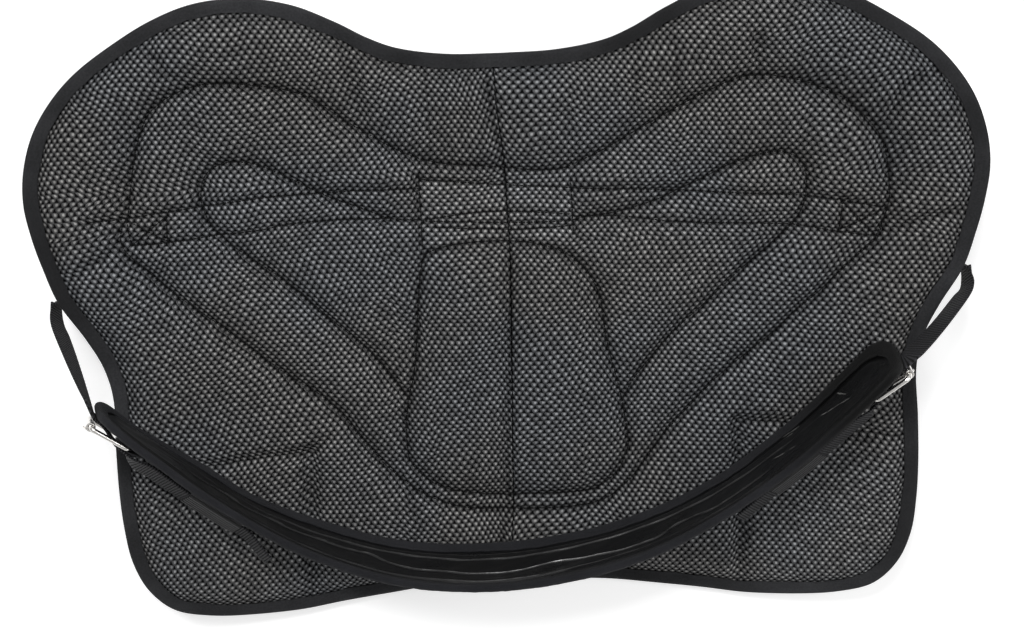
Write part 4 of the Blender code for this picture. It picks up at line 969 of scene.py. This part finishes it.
def slab(name, corners, radius, step, low, high, mat, slot, node, edge=0.0006, fill=None):
    """Flat sewn-on piece with a softly rounded rim; its surfaces follow the pad's curve."""
    loop = anticlockwise(rounded(corners, radius, step))
    centre = loop.mean(axis=0)
    span = np.min(np.linalg.norm(loop - centre, axis=1))
    rows = []
    for amount, h in ((0.03, low), (0.012, low), (0.004, low + 0.00008), (0.0012, low),
                      (0.0003, low + edge * 0.6), (0.0, (low + high) / 2), (0.0003, high - edge * 0.6),
                      (0.0012, high), (0.004, high), (0.012, high), (0.03, high)):
        # Rows near the rim keep their distance from it, and the others shrink towards the centre.
        inner = inward_of(loop) * amount if amount < 0.0035 else (centre - loop) * (amount / (amount + span))
        rows.append(on_pad(*(loop + inner).T, h))
    verts, faces = skin(np.array(rows), closed_cols=True)
    tip, last = len(verts), (len(rows) - 1) * len(loop)
    verts = np.vstack([verts, on_pad(*centre, low), on_pad(*centre, high)])
    pairs = [(k, (k + 1) % len(loop)) for k in range(len(loop))]
    faces = [*faces, *((tip + 1, last + b, last + a) for a, b in pairs), *((tip, a, b) for a, b in pairs)]
    obj = add_piece(name, verts, faces, mat, "pad", slot, [node], uv=verts[:, :2], angle=55, fill=fill)
    bm = bmesh.new()
    bm.from_mesh(obj.data)
    bmesh.ops.recalc_face_normals(bm, faces=bm.faces)
    bm.to_mesh(obj.data)
    bm.free()


def box(x, half, rear, front):
    return [(x + half, rear), (x + half, front), (x - half, front), (x - half, rear)]


slab("seat_overlay", np.array(SEAT_CORNERS) / 1000, SEAT_CORNER, LOOP_STEP, 0.0, SEAT_T, SUEDE, "suede",
     "seat_panel", fill=0.3)
slab("rigging_cover_patch", box(0, PATCH_HALF, PATCH_REAR, PATCH_FRONT), PATCH_CORNER, FINE_STEP,
     STRAP_LOW - GAP - PATCH_T, STRAP_LOW - GAP, COVER, "webbing", "rigging_patch", edge=0.0002)
for side, sign in (("left", -1), ("right", 1)):
    slab("front_tab_web_" + side, box(sign * TAB_X, TAB_HALF, TAB_REAR, TAB_FRONT), TAB_CORNER, FINE_STEP,
         COVER_LOW - GAP - TAB_T, COVER_LOW - GAP, FLAT_WEB, "webbing", "front_tab_" + side, edge=0.0004)


def four(p, wide, half):
    """A row of webbing: its edges and the sides of its slot."""
    return [p + wide * w for w in (-half, -SLOT_HALF, SLOT_HALF, half)]


def ribbon(name, rows, thickness, mat, body, node, sub, skip=()):
    """Webbing through rows of four points, open in the middle from each row in skip to the next."""
    rows = np.array(rows, float)
    fine = np.stack([catmull(rows[:, c], sub) for c in range(4)], axis=1)
    parts = [(c, k / n) for c, n in enumerate((4, 3, 4)) for k in range(n)] + [(2, 1.0)]
    grid = np.stack([fine[:, c] * (1 - t) + fine[:, c + 1] * t for c, t in parts], axis=1)
    middle = grid.mean(axis=1)
    wide = grid[:, -1] - grid[:, 0]
    normal = unit(np.cross(np.gradient(middle, axis=0), wide))
    # Selvedges are thinner than the middle.
    grid[:, 1] = grid[:, 0] + unit(wide) * 0.0006
    grid[:, -2] = grid[:, -1] - unit(wide) * 0.0006
    scale = np.ones((len(parts), 1))
    scale[[0, -1]] = 0.35
    lift = normal[:, None] * (thickness / 2) * scale
    keep = np.ones((len(grid) - 1, len(parts) - 1), bool)
    for i in skip:
        keep[i * sub:(i + 1) * sub, 4:7] = False
    return add_sheet(name, grid + lift, grid - lift, keep, flat(spread(middle[None]), spread(grid)), mat,
                     body, "webbing", [node], angle=60)[0]


def strap_end(sign):
    """The strap's way from the pad's underside up to the hinge: its points and turns about its run."""
    y0, z0 = place_on(STRAP_PLACE, sign * STRAP_REACH), ground(STRAP_REACH) + STRAP_MID
    out = []
    for fx, fy, dz, turn in ((0.26, 0.24, 0.0012, 20), (0.5, 0.5, 0.0018, 50), (0.72, 0.76, 0.0036, 80),
                             (0.885, 0.93, 0.0058, 90), (1.0, 1.0, 0.0067, 90)):
        x = STRAP_REACH + (HINGE_X - GAP - STRAP_REACH) * fx
        p = Vector((sign * x, y0 + (HINGE.y - y0) * fy, z0 + dz))
        if fx == 1.0:
            p.z = HINGE.z
            out.append((p - Vector((sign * HINGE_LEAD, 0, 0)), math.radians(turn)))
        out.append((p, math.radians(turn)))
    return out


def build_strap():
    """Strap across the rider side; its ends turn on edge and rise to the hinges."""
    spans = round(2 * STRAP_REACH / 0.025)
    xs = [-STRAP_REACH + 2 * STRAP_REACH * i / spans for i in range(spans + 1)]
    line = [(p, -turn) for p, turn in strap_end(-1)[::-1]]
    line += [(Vector((x, place_on(STRAP_PLACE, x), ground(x) + STRAP_MID)), 0.0) for x in xs] + strap_end(1)
    rows = []
    last = len(line) - 1
    for i, (p, turn) in enumerate(line):
        run = (line[min(i + 1, last)][0] - line[max(i - 1, 0)][0]).normalized()
        if i in (0, last):
            run = Vector((1, 0, 0))
        elif i in (1, last - 1):
            run = Vector((run.x, run.y, 0.0)).normalized()
        flat_side = Vector((0, 0, 1)).cross(run).normalized()
        up = run.cross(flat_side).normalized()
        row = four(p, flat_side * math.cos(turn) + up * math.sin(abs(turn)), STRAP_W / 2)
        if turn == 0.0:
            row = [Vector((q.x, q.y, ground(q.x) + STRAP_MID)) for q in row]
        rows.append(row)
    ribbon("rigging_webbing", rows, STRAP_T, FLAT_WEB, "pad", "rigging_strap", 3)


build_strap()


# Girth.

def blend(knots, x):
    """Smooth value through (x, value) knots, for a number or an array."""
    value = np.full(np.shape(x), float(knots[0][1]))
    for (x0, v0), (x1, v1) in zip(knots, knots[1:]):
        value = value + (v1 - v0) * ease(x, x0, x1)
    return value if value.ndim else float(value)


class Girth:
    """The girth's curved, leaning surface: s along it, w across it, n outwards."""

    def __init__(self):
        low, high = mm(GIRTH_LOWER, 10), mm(GIRTH_UPPER, 10)
        feet = on_pad(*low.T, PAD_HIGH + GAP + GIRTH_LIFT)
        lean = high - low
        rise = np.sqrt(GIRTH_W ** 2 - np.sum(lean ** 2, axis=1))
        along = unit(np.vstack([feet[1] - feet[0], feet[2:] - feet[:-2], feet[-1] - feet[-2]]))
        wide = np.column_stack([lean, rise])
        self.wide = unit(wide - along * np.sum(along * wide, axis=1)[:, None])
        self.mid = feet + self.wide * GIRTH_W / 2
        self.at = spread(self.mid[None])
        self.length = float(self.at[-1])

    def frames(self, s):
        """Points on the girth's middle line, with their directions across it and outwards."""
        s = np.atleast_1d(np.asarray(s, float))
        inside = np.clip(s, 0, self.length)
        at, mid = self.at, self.mid
        i = np.clip(np.searchsorted(at, inside, side="left") - 1, 0, len(at) - 2)
        t = ((inside - at[i]) / (at[i + 1] - at[i]))[:, None]
        point = mid[i] * (1 - t) + mid[i + 1] * t
        wide = unit(self.wide[i] * (1 - t) + self.wide[i + 1] * t)
        t0 = np.where((i > 0)[:, None], t, 0.0)
        behind = mid[np.maximum(i - 1, 0)] * (1 - t0) + mid[i] * t0
        ahead = mid[i + 1] * (1 - t) + mid[np.minimum(i + 2, len(at) - 1)] * t
        along = unit(ahead - behind)
        along = unit(along - wide * np.sum(along * wide, axis=1)[:, None])
        out = unit(np.cross(along, wide))
        return point + along * (s - inside)[:, None] + out * blend(GIRTH_BOW, s)[:, None], wide, out

    def frame(self, s):
        return [Vector(rows[0]) for rows in self.frames(s)]

    def put(self, s, w, n):
        """Points on the girth, whose section is bowed outwards in the middle."""
        s, w, n = np.broadcast_arrays(s, w, n)
        point, wide, out = self.frames(s.ravel())
        q = ((w.ravel() - GIRTH_W / 2) / (GIRTH_W / 2))[:, None]
        bow = blend(GIRTH_BOW, s.ravel())[:, None]
        slope = -4 * bow / GIRTH_W * q
        normal = (out - wide * slope) / np.sqrt(1 + slope ** 2)
        p = point + wide * q * GIRTH_W / 2 - out * bow * q * q + normal * n.ravel()[:, None]
        return p.reshape(s.shape + (3,))


GIRTH = Girth()
LENGTH = GIRTH.length
# Lines round the girth's flat shape: their distance inside its rim and their corner radius.
RIM = (0.0, GIRTH_CORNER)
TAPE_INNER = (GIRTH_TAPE_REACH, INNER_CORNER)


def depth_inside(line, s, w):
    """Distance inside one of the lines round the girth."""
    margin, corner = line
    qx = np.abs(s - LENGTH / 2) - (LENGTH / 2 - margin - corner)
    qy = np.abs(w - GIRTH_W / 2) - (GIRTH_W / 2 - margin - corner)
    outside = np.hypot(np.maximum(qx, 0), np.maximum(qy, 0)) + np.minimum(np.maximum(qx, qy), 0)
    return corner - outside


def tape_reach(loop):
    """Width from the girth's rim to the tape's inner edge at each point of the loop."""
    low, high = np.full(len(loop), 0.008), np.full(len(loop), 0.0195)
    inward = inward_of(loop)
    for _ in range(24):
        mid = (low + high) / 2
        inside = depth_inside(TAPE_INNER, *(loop + inward * mid[:, None]).T) > 0
        high = np.where(inside, mid, high)
        low = np.where(inside, low, mid)
    return low


def right_end_shade(s):
    """Rises to 1 towards the girth's right end, where the tape and the lining get painted shade."""
    return ease(s, LENGTH - 0.17, LENGTH - 0.03)


def girth_grid(shape):
    """Places along and across the girth, their depth inside the tape, and the cells inside the rim."""
    s, w = (np.linspace(SHEET_INSET, size - SHEET_INSET, n) for size, n in zip((LENGTH, GIRTH_W), shape))
    S, W = np.meshgrid(s, w, indexing="ij")
    return S, W, depth_inside(TAPE_INNER, S, W), whole_cells(depth_inside(RIM, S, W) > SHEET_RIM)


def build_lining():
    """Smooth inner face, pressed flat under the tape and creased into long ridges."""
    S, W, deep, keep = girth_grid(LINING_GRID)
    puff = LINER_PUFF * ease(deep, 0.0, 0.008) - 0.0004 * bell(deep, 0.0022, 0.0011)
    puff = puff + 0.0003 * np.sin(S * 140 + W * 260) * ease(deep, 0.004, 0.012)
    free = ease(S, 0.016, 0.06) * ease(LENGTH - S, 0.016, 0.06) * ease(deep, 0.0, 0.003)
    calm = ease(LENGTH - S, 0.06, 0.2) * ease(S, 0.04, 0.12)
    folds = []
    for fold in FOLDS:
        away = W - np.interp(S, *mm(fold[0], 12).T)
        after = np.maximum(away, 0.0)
        groove = np.exp(-after / 0.005) * (1 - np.exp(-after / 0.0009))
        puff = puff + fold[1] * free * calm * (bell(away, 0.0, 0.0009) - 0.9 * groove)
        folds.append(away)
    inner = GIRTH.put(S, W, -GAP - LINER_EDGE_T - np.maximum(puff, 0))
    lining, used = add_sheet("girth_lining", GIRTH.put(S, W, -GAP), inner, keep, np.stack([S, W], axis=-1),
                             SMOOTH, "girth", "smooth_neoprene", ["girth_liner"], angle=75, fill=0.4)
    # How much painted shade the lining gets towards the girth's right end.
    mark(lining, "end_shade", right_end_shade(S)[used], 2)
    for number, away in enumerate(folds):
        mark(lining, "fold_%d" % number, away[used], 2)


def build_shell():
    """Cloth outer face, full beside the web that is sewn along its middle."""
    S, W, deep, keep = girth_grid(SHELL_GRID)
    beside = np.abs(W - GIRTH_W / 2) - WEB_W / 2
    full = ease(deep, 0.0, 0.006) * ease(np.abs(beside - 0.001), 0.0, 0.005) * ease(beside, 0.0, 0.004)
    add_sheet("girth_shell", GIRTH.put(S, W, GIRTH_COVER_T + 0.0005 * full), GIRTH.put(S, W, 0.0), keep,
              np.stack([S, W], axis=-1), COVER, "girth", "tape", ["girth_cover"], angle=75, fill=0.4)


build_lining()
build_shell()
girth_loop = round_box(GIRTH_CORNER, GIRTH_CORNER, LENGTH - GIRTH_CORNER, GIRTH_W - GIRTH_CORNER,
                       GIRTH_CORNER, 9, FINE_STEP)
girth_tape = swept_tape("girth_edge_tape", girth_loop, GIRTH.put, -GAP - LINER_EDGE_T, GIRTH_COVER_T,
                        tape_reach(girth_loop), GIRTH_TAPE_T, GIRTH_TAPE, "girth", ["girth_binding"], 51,
                        crown=0.0005)
section = len(girth_tape.data.vertices) // len(girth_loop)
# How much painted shade the tape gets towards the girth's right end.
mark(girth_tape, "end_shade", np.repeat(right_end_shade(girth_loop[:, 0]), section))


def build_web():
    """Web along the outside; each end folds round a heel bar and is sewn back on itself."""
    half = WEB_W / 2
    leg_n, top_n = WEB_N + WEB_T + GAP, HEEL_N + WRAP_R
    first = HEEL_D + 0.005
    end = [(first, WEB_N)]
    for a in np.radians(range(-90, -271, -20)):
        end.append((HEEL_D + WRAP_R * math.cos(a), HEEL_N + WRAP_R * math.sin(a)))
    leg = [(first, top_n - 0.0006), (HEEL_D + 0.01, (top_n + leg_n) / 2), (HEEL_D + 0.016, leg_n + 0.0002),
           (HEEL_D + WEB_LEG, leg_n)]
    end += leg
    spans = round((LENGTH - 2 * first) / 0.01)
    path = end[::-1] + [(first + (LENGTH - 2 * first) * i / spans, WEB_N) for i in range(1, spans)]
    path += [(LENGTH - d, n) for d, n in end]
    rows = []
    for s, n in path:
        point, wide, out = GIRTH.frame(s)
        rows.append(four(point + out * n, wide, half))
    skip = range(len(leg) - 1, len(end) - 1)
    ribbon("girth_webbing", rows, WEB_T, FLAT_WEB, "girth", "girth_web", 2,
           [*skip, *(len(path) - 2 - i for i in skip)])
    # Two rows of stitching along the web.
    sewn = HEEL_D + WEB_LEG + 0.004
    point, wide, out = GIRTH.frames(np.arange(sewn, LENGTH - sewn, 0.004))
    stitches("girth_web_stitches", [(point + out * (WEB_N + WEB_T / 2) + wide * w, out)
                                    for w in (-half + 0.0025, half - 0.0025)], "girth")


def from_end(side, d):
    """Place along the girth at a distance from one of its ends."""
    return d if side == "left" else LENGTH - d


def buckle_frame(side):
    """Matrices of a buckle's heel bar and roller, x from bar to bar, y along them, z outwards."""
    heel, far = (Vector(GIRTH.put(from_end(side, d), GIRTH_W / 2, n)) for d, n in
                 ((HEEL_D, HEEL_N), (ROLLER_D, ROLLER_N)))
    wide = GIRTH.frame(from_end(side, HEEL_D))[1]
    ahead = far - heel
    ahead = (ahead - wide * ahead.dot(wide)).normalized()
    reach = (far - heel).dot(ahead)
    side_axis = -wide if side == "left" else wide
    turn = Matrix((ahead, side_axis, ahead.cross(side_axis).normalized())).transposed().to_4x4()
    return Matrix.Translation(heel) @ turn, Matrix.Translation(heel + ahead * reach) @ turn, reach


def add_steel(kind, side, body, node, rows, matrix, closed_rows=True, flip=False, angle=None):
    """A part of the buckle given as rows of points in the buckle's own frame."""
    verts, faces = skin(rows, closed_rows=closed_rows, closed_cols=True)
    faces = list(faces[:, ::-1] if flip else faces)
    if not closed_rows:
        last, sides = len(verts), rows.shape[1]
        faces += [range(sides), range(last - 1, last - sides - 1, -1)]
    m = np.array(matrix)
    add_piece("buckle_%s_%s" % (kind, side), verts @ m[:3, :3].T + m[:3, 3], faces, STEEL,
              "%s_%s" % (body, side), "steel", ["buckle_%s_%s" % (node, side)], angle=angle)


def build_buckle(side):
    """Wire frame, roller and tongue of one buckle."""
    heel, far, reach = buckle_frame(side)
    c = FRAME_CORNER
    wire = round_box(c, c - FRAME_HALF, reach - c, FRAME_HALF - c, c, 8, 0.0012)
    rows = [[(*(p + n * (math.cos(a) * WIRE_R)), math.sin(a) * WIRE_R) for a in circle(20)]
            for p, n in zip(wire, inward_of(wire))]
    add_steel("wire", side, "buckle", "frame", np.array(rows), heel, flip=True)

    half, bore, full = FRAME_HALF - c - GAP, WIRE_R + GAP, ROLLER_R + 0.00004
    end = [(half - 0.0002, bore), (half, bore + 0.0002), (half, ROLLER_R - 0.0003), (half - 0.0003, ROLLER_R),
           (half * 0.5, full)]
    profile = [(-y, r) for y, r in end] + [(0, full)] + end[::-1]
    rows = [[(r * math.cos(a), y, r * math.sin(a)) for a in circle(28)] for y, r in profile]
    add_steel("tube", side, "roller", "roller", np.array(rows), far, angle=40)

    # The tongue curls round the heel bar and reaches over the roller.
    barrel = bore + TONGUE_T / 2
    tip = np.array((reach + 0.0015, ROLLER_R + GAP + TONGUE_T / 2))
    leave = math.atan2(tip[1], tip[0]) + math.acos(barrel / np.linalg.norm(tip))
    curl = [(barrel * math.cos(a), barrel * math.sin(a))
            for a in np.linspace(math.radians(-50), leave - math.tau, 25)]
    path = np.array(curl + [curl[-1] + (tip - curl[-1]) * k / 10 for k in range(1, 11)]
                    + [tip + (0.0014, -0.0001), tip + (0.0025, -0.0004)])
    along = unit(np.gradient(path, axis=0))
    rows = []
    for left, (px, pz), (ax, az) in zip(range(len(path) - 1, -1, -1), path, along):
        f = min(1.0, left / 6 + 0.55)
        hw, ht = TONGUE_W / 2 * f, TONGUE_T / 2 * (1.0 if left else 0.7)
        ring = []
        for a in circle(16):
            w = hw * math.copysign(abs(math.cos(a)) ** 0.45, math.cos(a))
            t = ht * math.copysign(abs(math.sin(a)) ** 0.6, math.sin(a))
            ring.append((px - az * t, w, pz + ax * t))
        rows.append(ring)
    add_steel("tongue_bar", side, "tongue", "tongue", np.array(rows), heel, closed_rows=False, angle=50)


def tilted(side, d, n, tilt):
    """Middle, direction across and normal of a billet that lies over the girth and hangs out from it."""
    point, wide, out = GIRTH.frame(from_end(side, d))
    half, c, s = STRAP_W / 2, math.cos(tilt), math.sin(tilt)
    return point + out * (n + half * s) + wide * half * (1 - c), wide * c - out * s, out * c + wide * s


def free_length(side, x, end):
    """Middle line of a billet's free length, from the hinge to its end at the girth."""
    line = [Vector((x * HINGE_X, HINGE.y, HINGE.z))]
    line.append(line[0] + Vector((x * HINGE_LEAD, 0, 0)))
    line += [line[1] + Vector((x * BILLET_BEND * math.sin(a), -BILLET_BEND * (1 - math.cos(a)), 0))
             for a in np.radians((30, 60, 90))]
    lead = line[-1]
    near = lead + Vector((x * -0.0026, -0.017, 0.009))
    slack = Vector((FREE_SLACK[side], 0, -0.001))
    route = [lead, lead + Vector((x * -0.0004, -0.008, 0.0035)), near, near.lerp(end, 0.36) + slack,
             near.lerp(end, 0.72) + slack, end]
    return line + [Vector(p) for p in resample(catmull(route, 8), 0.008)[1:-1]]


def build_billet(side):
    """Free end of the webbing: from the hinge through the buckle and back along the girth."""
    half = STRAP_W / 2
    x = -1 if side == "left" else 1
    under_n = GIRTH_COVER_T + TAPE_EASE + GIRTH_TAPE_T + BILLET_SLACK + BILLET_T / 2
    over_n = HEEL_N + WRAP_R + WEB_T / 2 + GAP + BILLET_T / 2 + 0.0001
    leg_n = WEB_N + WEB_T * 1.5 + 2 * GAP + BILLET_T / 2
    heights = [(0.0, under_n), (ROLLER_D + 0.004, under_n), (HEEL_D - 0.005, over_n),
               (HEEL_D + 0.006, over_n), (HEEL_D + WEB_LEG + 0.003, max(leg_n, RUN_N) + 0.0001),
               (KEEPER_START - 0.012, RUN_N), (KEEPER_END + 0.003, RUN_N),
               (BILLET_END + 0.006, RUN_N + TAIL_DROOP[side])]
    tilts = [(HEEL_D - 0.002, 0.0), (HEEL_D + 0.022, TILT[side])]

    point, wide, out = GIRTH.frame(from_end(side, 0.0))
    end = point + out * under_n
    line = free_length(side, x, end)
    rows = []
    for i, p in enumerate(line):
        ahead = (line[i + 1] if i + 1 < len(line) else end) - line[max(i - 1, 0)]
        if i == 0:
            ahead = Vector((x, 0, 0))
        over = Vector((0, 0, 1)).lerp(wide, max(0.0, (i - 4) / (len(line) - 4)) ** 2)
        rows.append(four(p, (over - ahead * over.dot(ahead) / ahead.length_squared).normalized(), half))
    # The tongue's slot lies between the first and the last stop of its run.
    slot = np.linspace(HEEL_D - 0.016, HEEL_D + 0.004, 7)
    stops = [0.0, 0.005, 0.01, 0.015, 0.019, *slot,
             *(HEEL_D + v for v in (0.008, 0.012, 0.017, 0.023, 0.03, 0.04)), KEEPER_START - 0.006,
             *np.linspace(KEEPER_START, KEEPER_END, 5), *np.linspace(KEEPER_END, BILLET_END, 6)[1:]]
    skip = range(len(rows) + 5, len(rows) + 5 + len(slot) - 1)
    for d in stops:
        rows.append(four(*tilted(side, d, blend(heights, d), blend(tilts, d))[:2], half))
    billet = ribbon("billet_webbing_" + side, rows, BILLET_T, WEBBING, None, "billet_" + side, 3, skip)
    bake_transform(billet)


def build_keeper(side):
    """Elastic keeper round the billet; it is sewn to the web's upper edge and hangs out with the billet."""
    a, b = STRAP_W / 2 + 2 * GAP, BILLET_T / 2 + GAP
    outer = round_box(-a, -b, a, b, KEEPER_T, 5, KEEPER_STEP)
    inner = np.clip(outer, (-a, -b), (a, b))
    rib = KEEPER_RIB_H * np.abs(np.cos(outer[:, 0] * math.pi / KEEPER_RIB))
    outer[:, 1] += np.where(outer[:, 1] > b, rib, 0.0)
    distances = np.linspace(KEEPER_START, KEEPER_END, 18)
    rows = []
    for ring, order in ((outer, distances), (inner, distances[::-1])):
        for d in order:
            middle, over, normal = tilted(side, d, RUN_N, TILT[side])
            rows.append([middle + over * u + normal * v for u, v in ring])
    verts, faces = skin(np.array(rows), closed_rows=True, closed_cols=True)
    if side == "left":
        faces = faces[:, ::-1]
    uv = flat(np.concatenate([distances, distances[::-1]]), np.arange(len(outer)) * KEEPER_STEP)
    add_piece("elastic_keeper_" + side, verts, faces, ELASTIC, "girth", "elastic", ["keeper_" + side],
              uv=uv.reshape(-1, 2), angle=60)


build_web()
for side in ("left", "right"):
    build_buckle(side)
    build_billet(side)
    build_keeper(side)


# Floor, light and camera.

def floor_material():
    """Plain pale floor; seen straight on it is close to white, and it keeps the shadow."""
    n = Nodes("pale_floor", roughness=1.0, specular=0.0)
    seen = n.math("MAXIMUM", *(n.add("LightPath", {}, "Is %s Ray" % kind) for kind in ("Camera", "Glossy")))
    n.set("Base Color", n.mix(seen, (0.5, 0.5, 0.5), (1.0, 1.0, 1.0)))
    n.set("Emission Color", (1.0, 1.0, 1.0, 1.0))
    n.set("Emission Strength", seen * 0.3)
    return n.mat


def area_light(name, place, size, size_y, power):
    """Lamp that shines at the middle of the pad."""
    light = bpy.data.lights.new(name, "AREA")
    light.energy = power
    light.shape = "RECTANGLE"
    light.size, light.size_y = size, size_y
    obj = new_object(name, light)
    obj.location = place
    obj.rotation_euler = (-Vector(place)).to_track_quat("-Z", "Y").to_euler()


floor_mesh = bpy.data.meshes.new("floor")
floor_mesh.from_pydata([(x * FLOOR_HALF, y * FLOOR_HALF, 0) for x, y in ((-1, -1), (1, -1), (1, 1), (-1, 1))],
                       [], [(0, 1, 2, 3)])
floor_mesh.materials.append(floor_material())
floor = new_object("floor", floor_mesh)
floor.location.z = FLOOR_Z

world = bpy.data.worlds.new("soft_world")
world.use_nodes = True
background = world.node_tree.nodes["Background"]
background.inputs["Color"].default_value = (1.0, 1.0, 1.0, 1.0)
background.inputs["Strength"].default_value = SKY
bpy.context.scene.world = world

area_light("key", *KEY_LIGHT)
area_light("fill", *FILL_LIGHT)

camera = bpy.data.cameras.new("camera")
camera.sensor_width = 36.0
camera.lens = 50.0
view = new_object("camera", camera)
view.matrix_world = Matrix.Translation(CAMERA_PLACE) @ Matrix(CAMERA_AXES).transposed().to_4x4()
bpy.context.scene.camera = view
bpy.context.scene.view_settings.view_transform = "Standard"
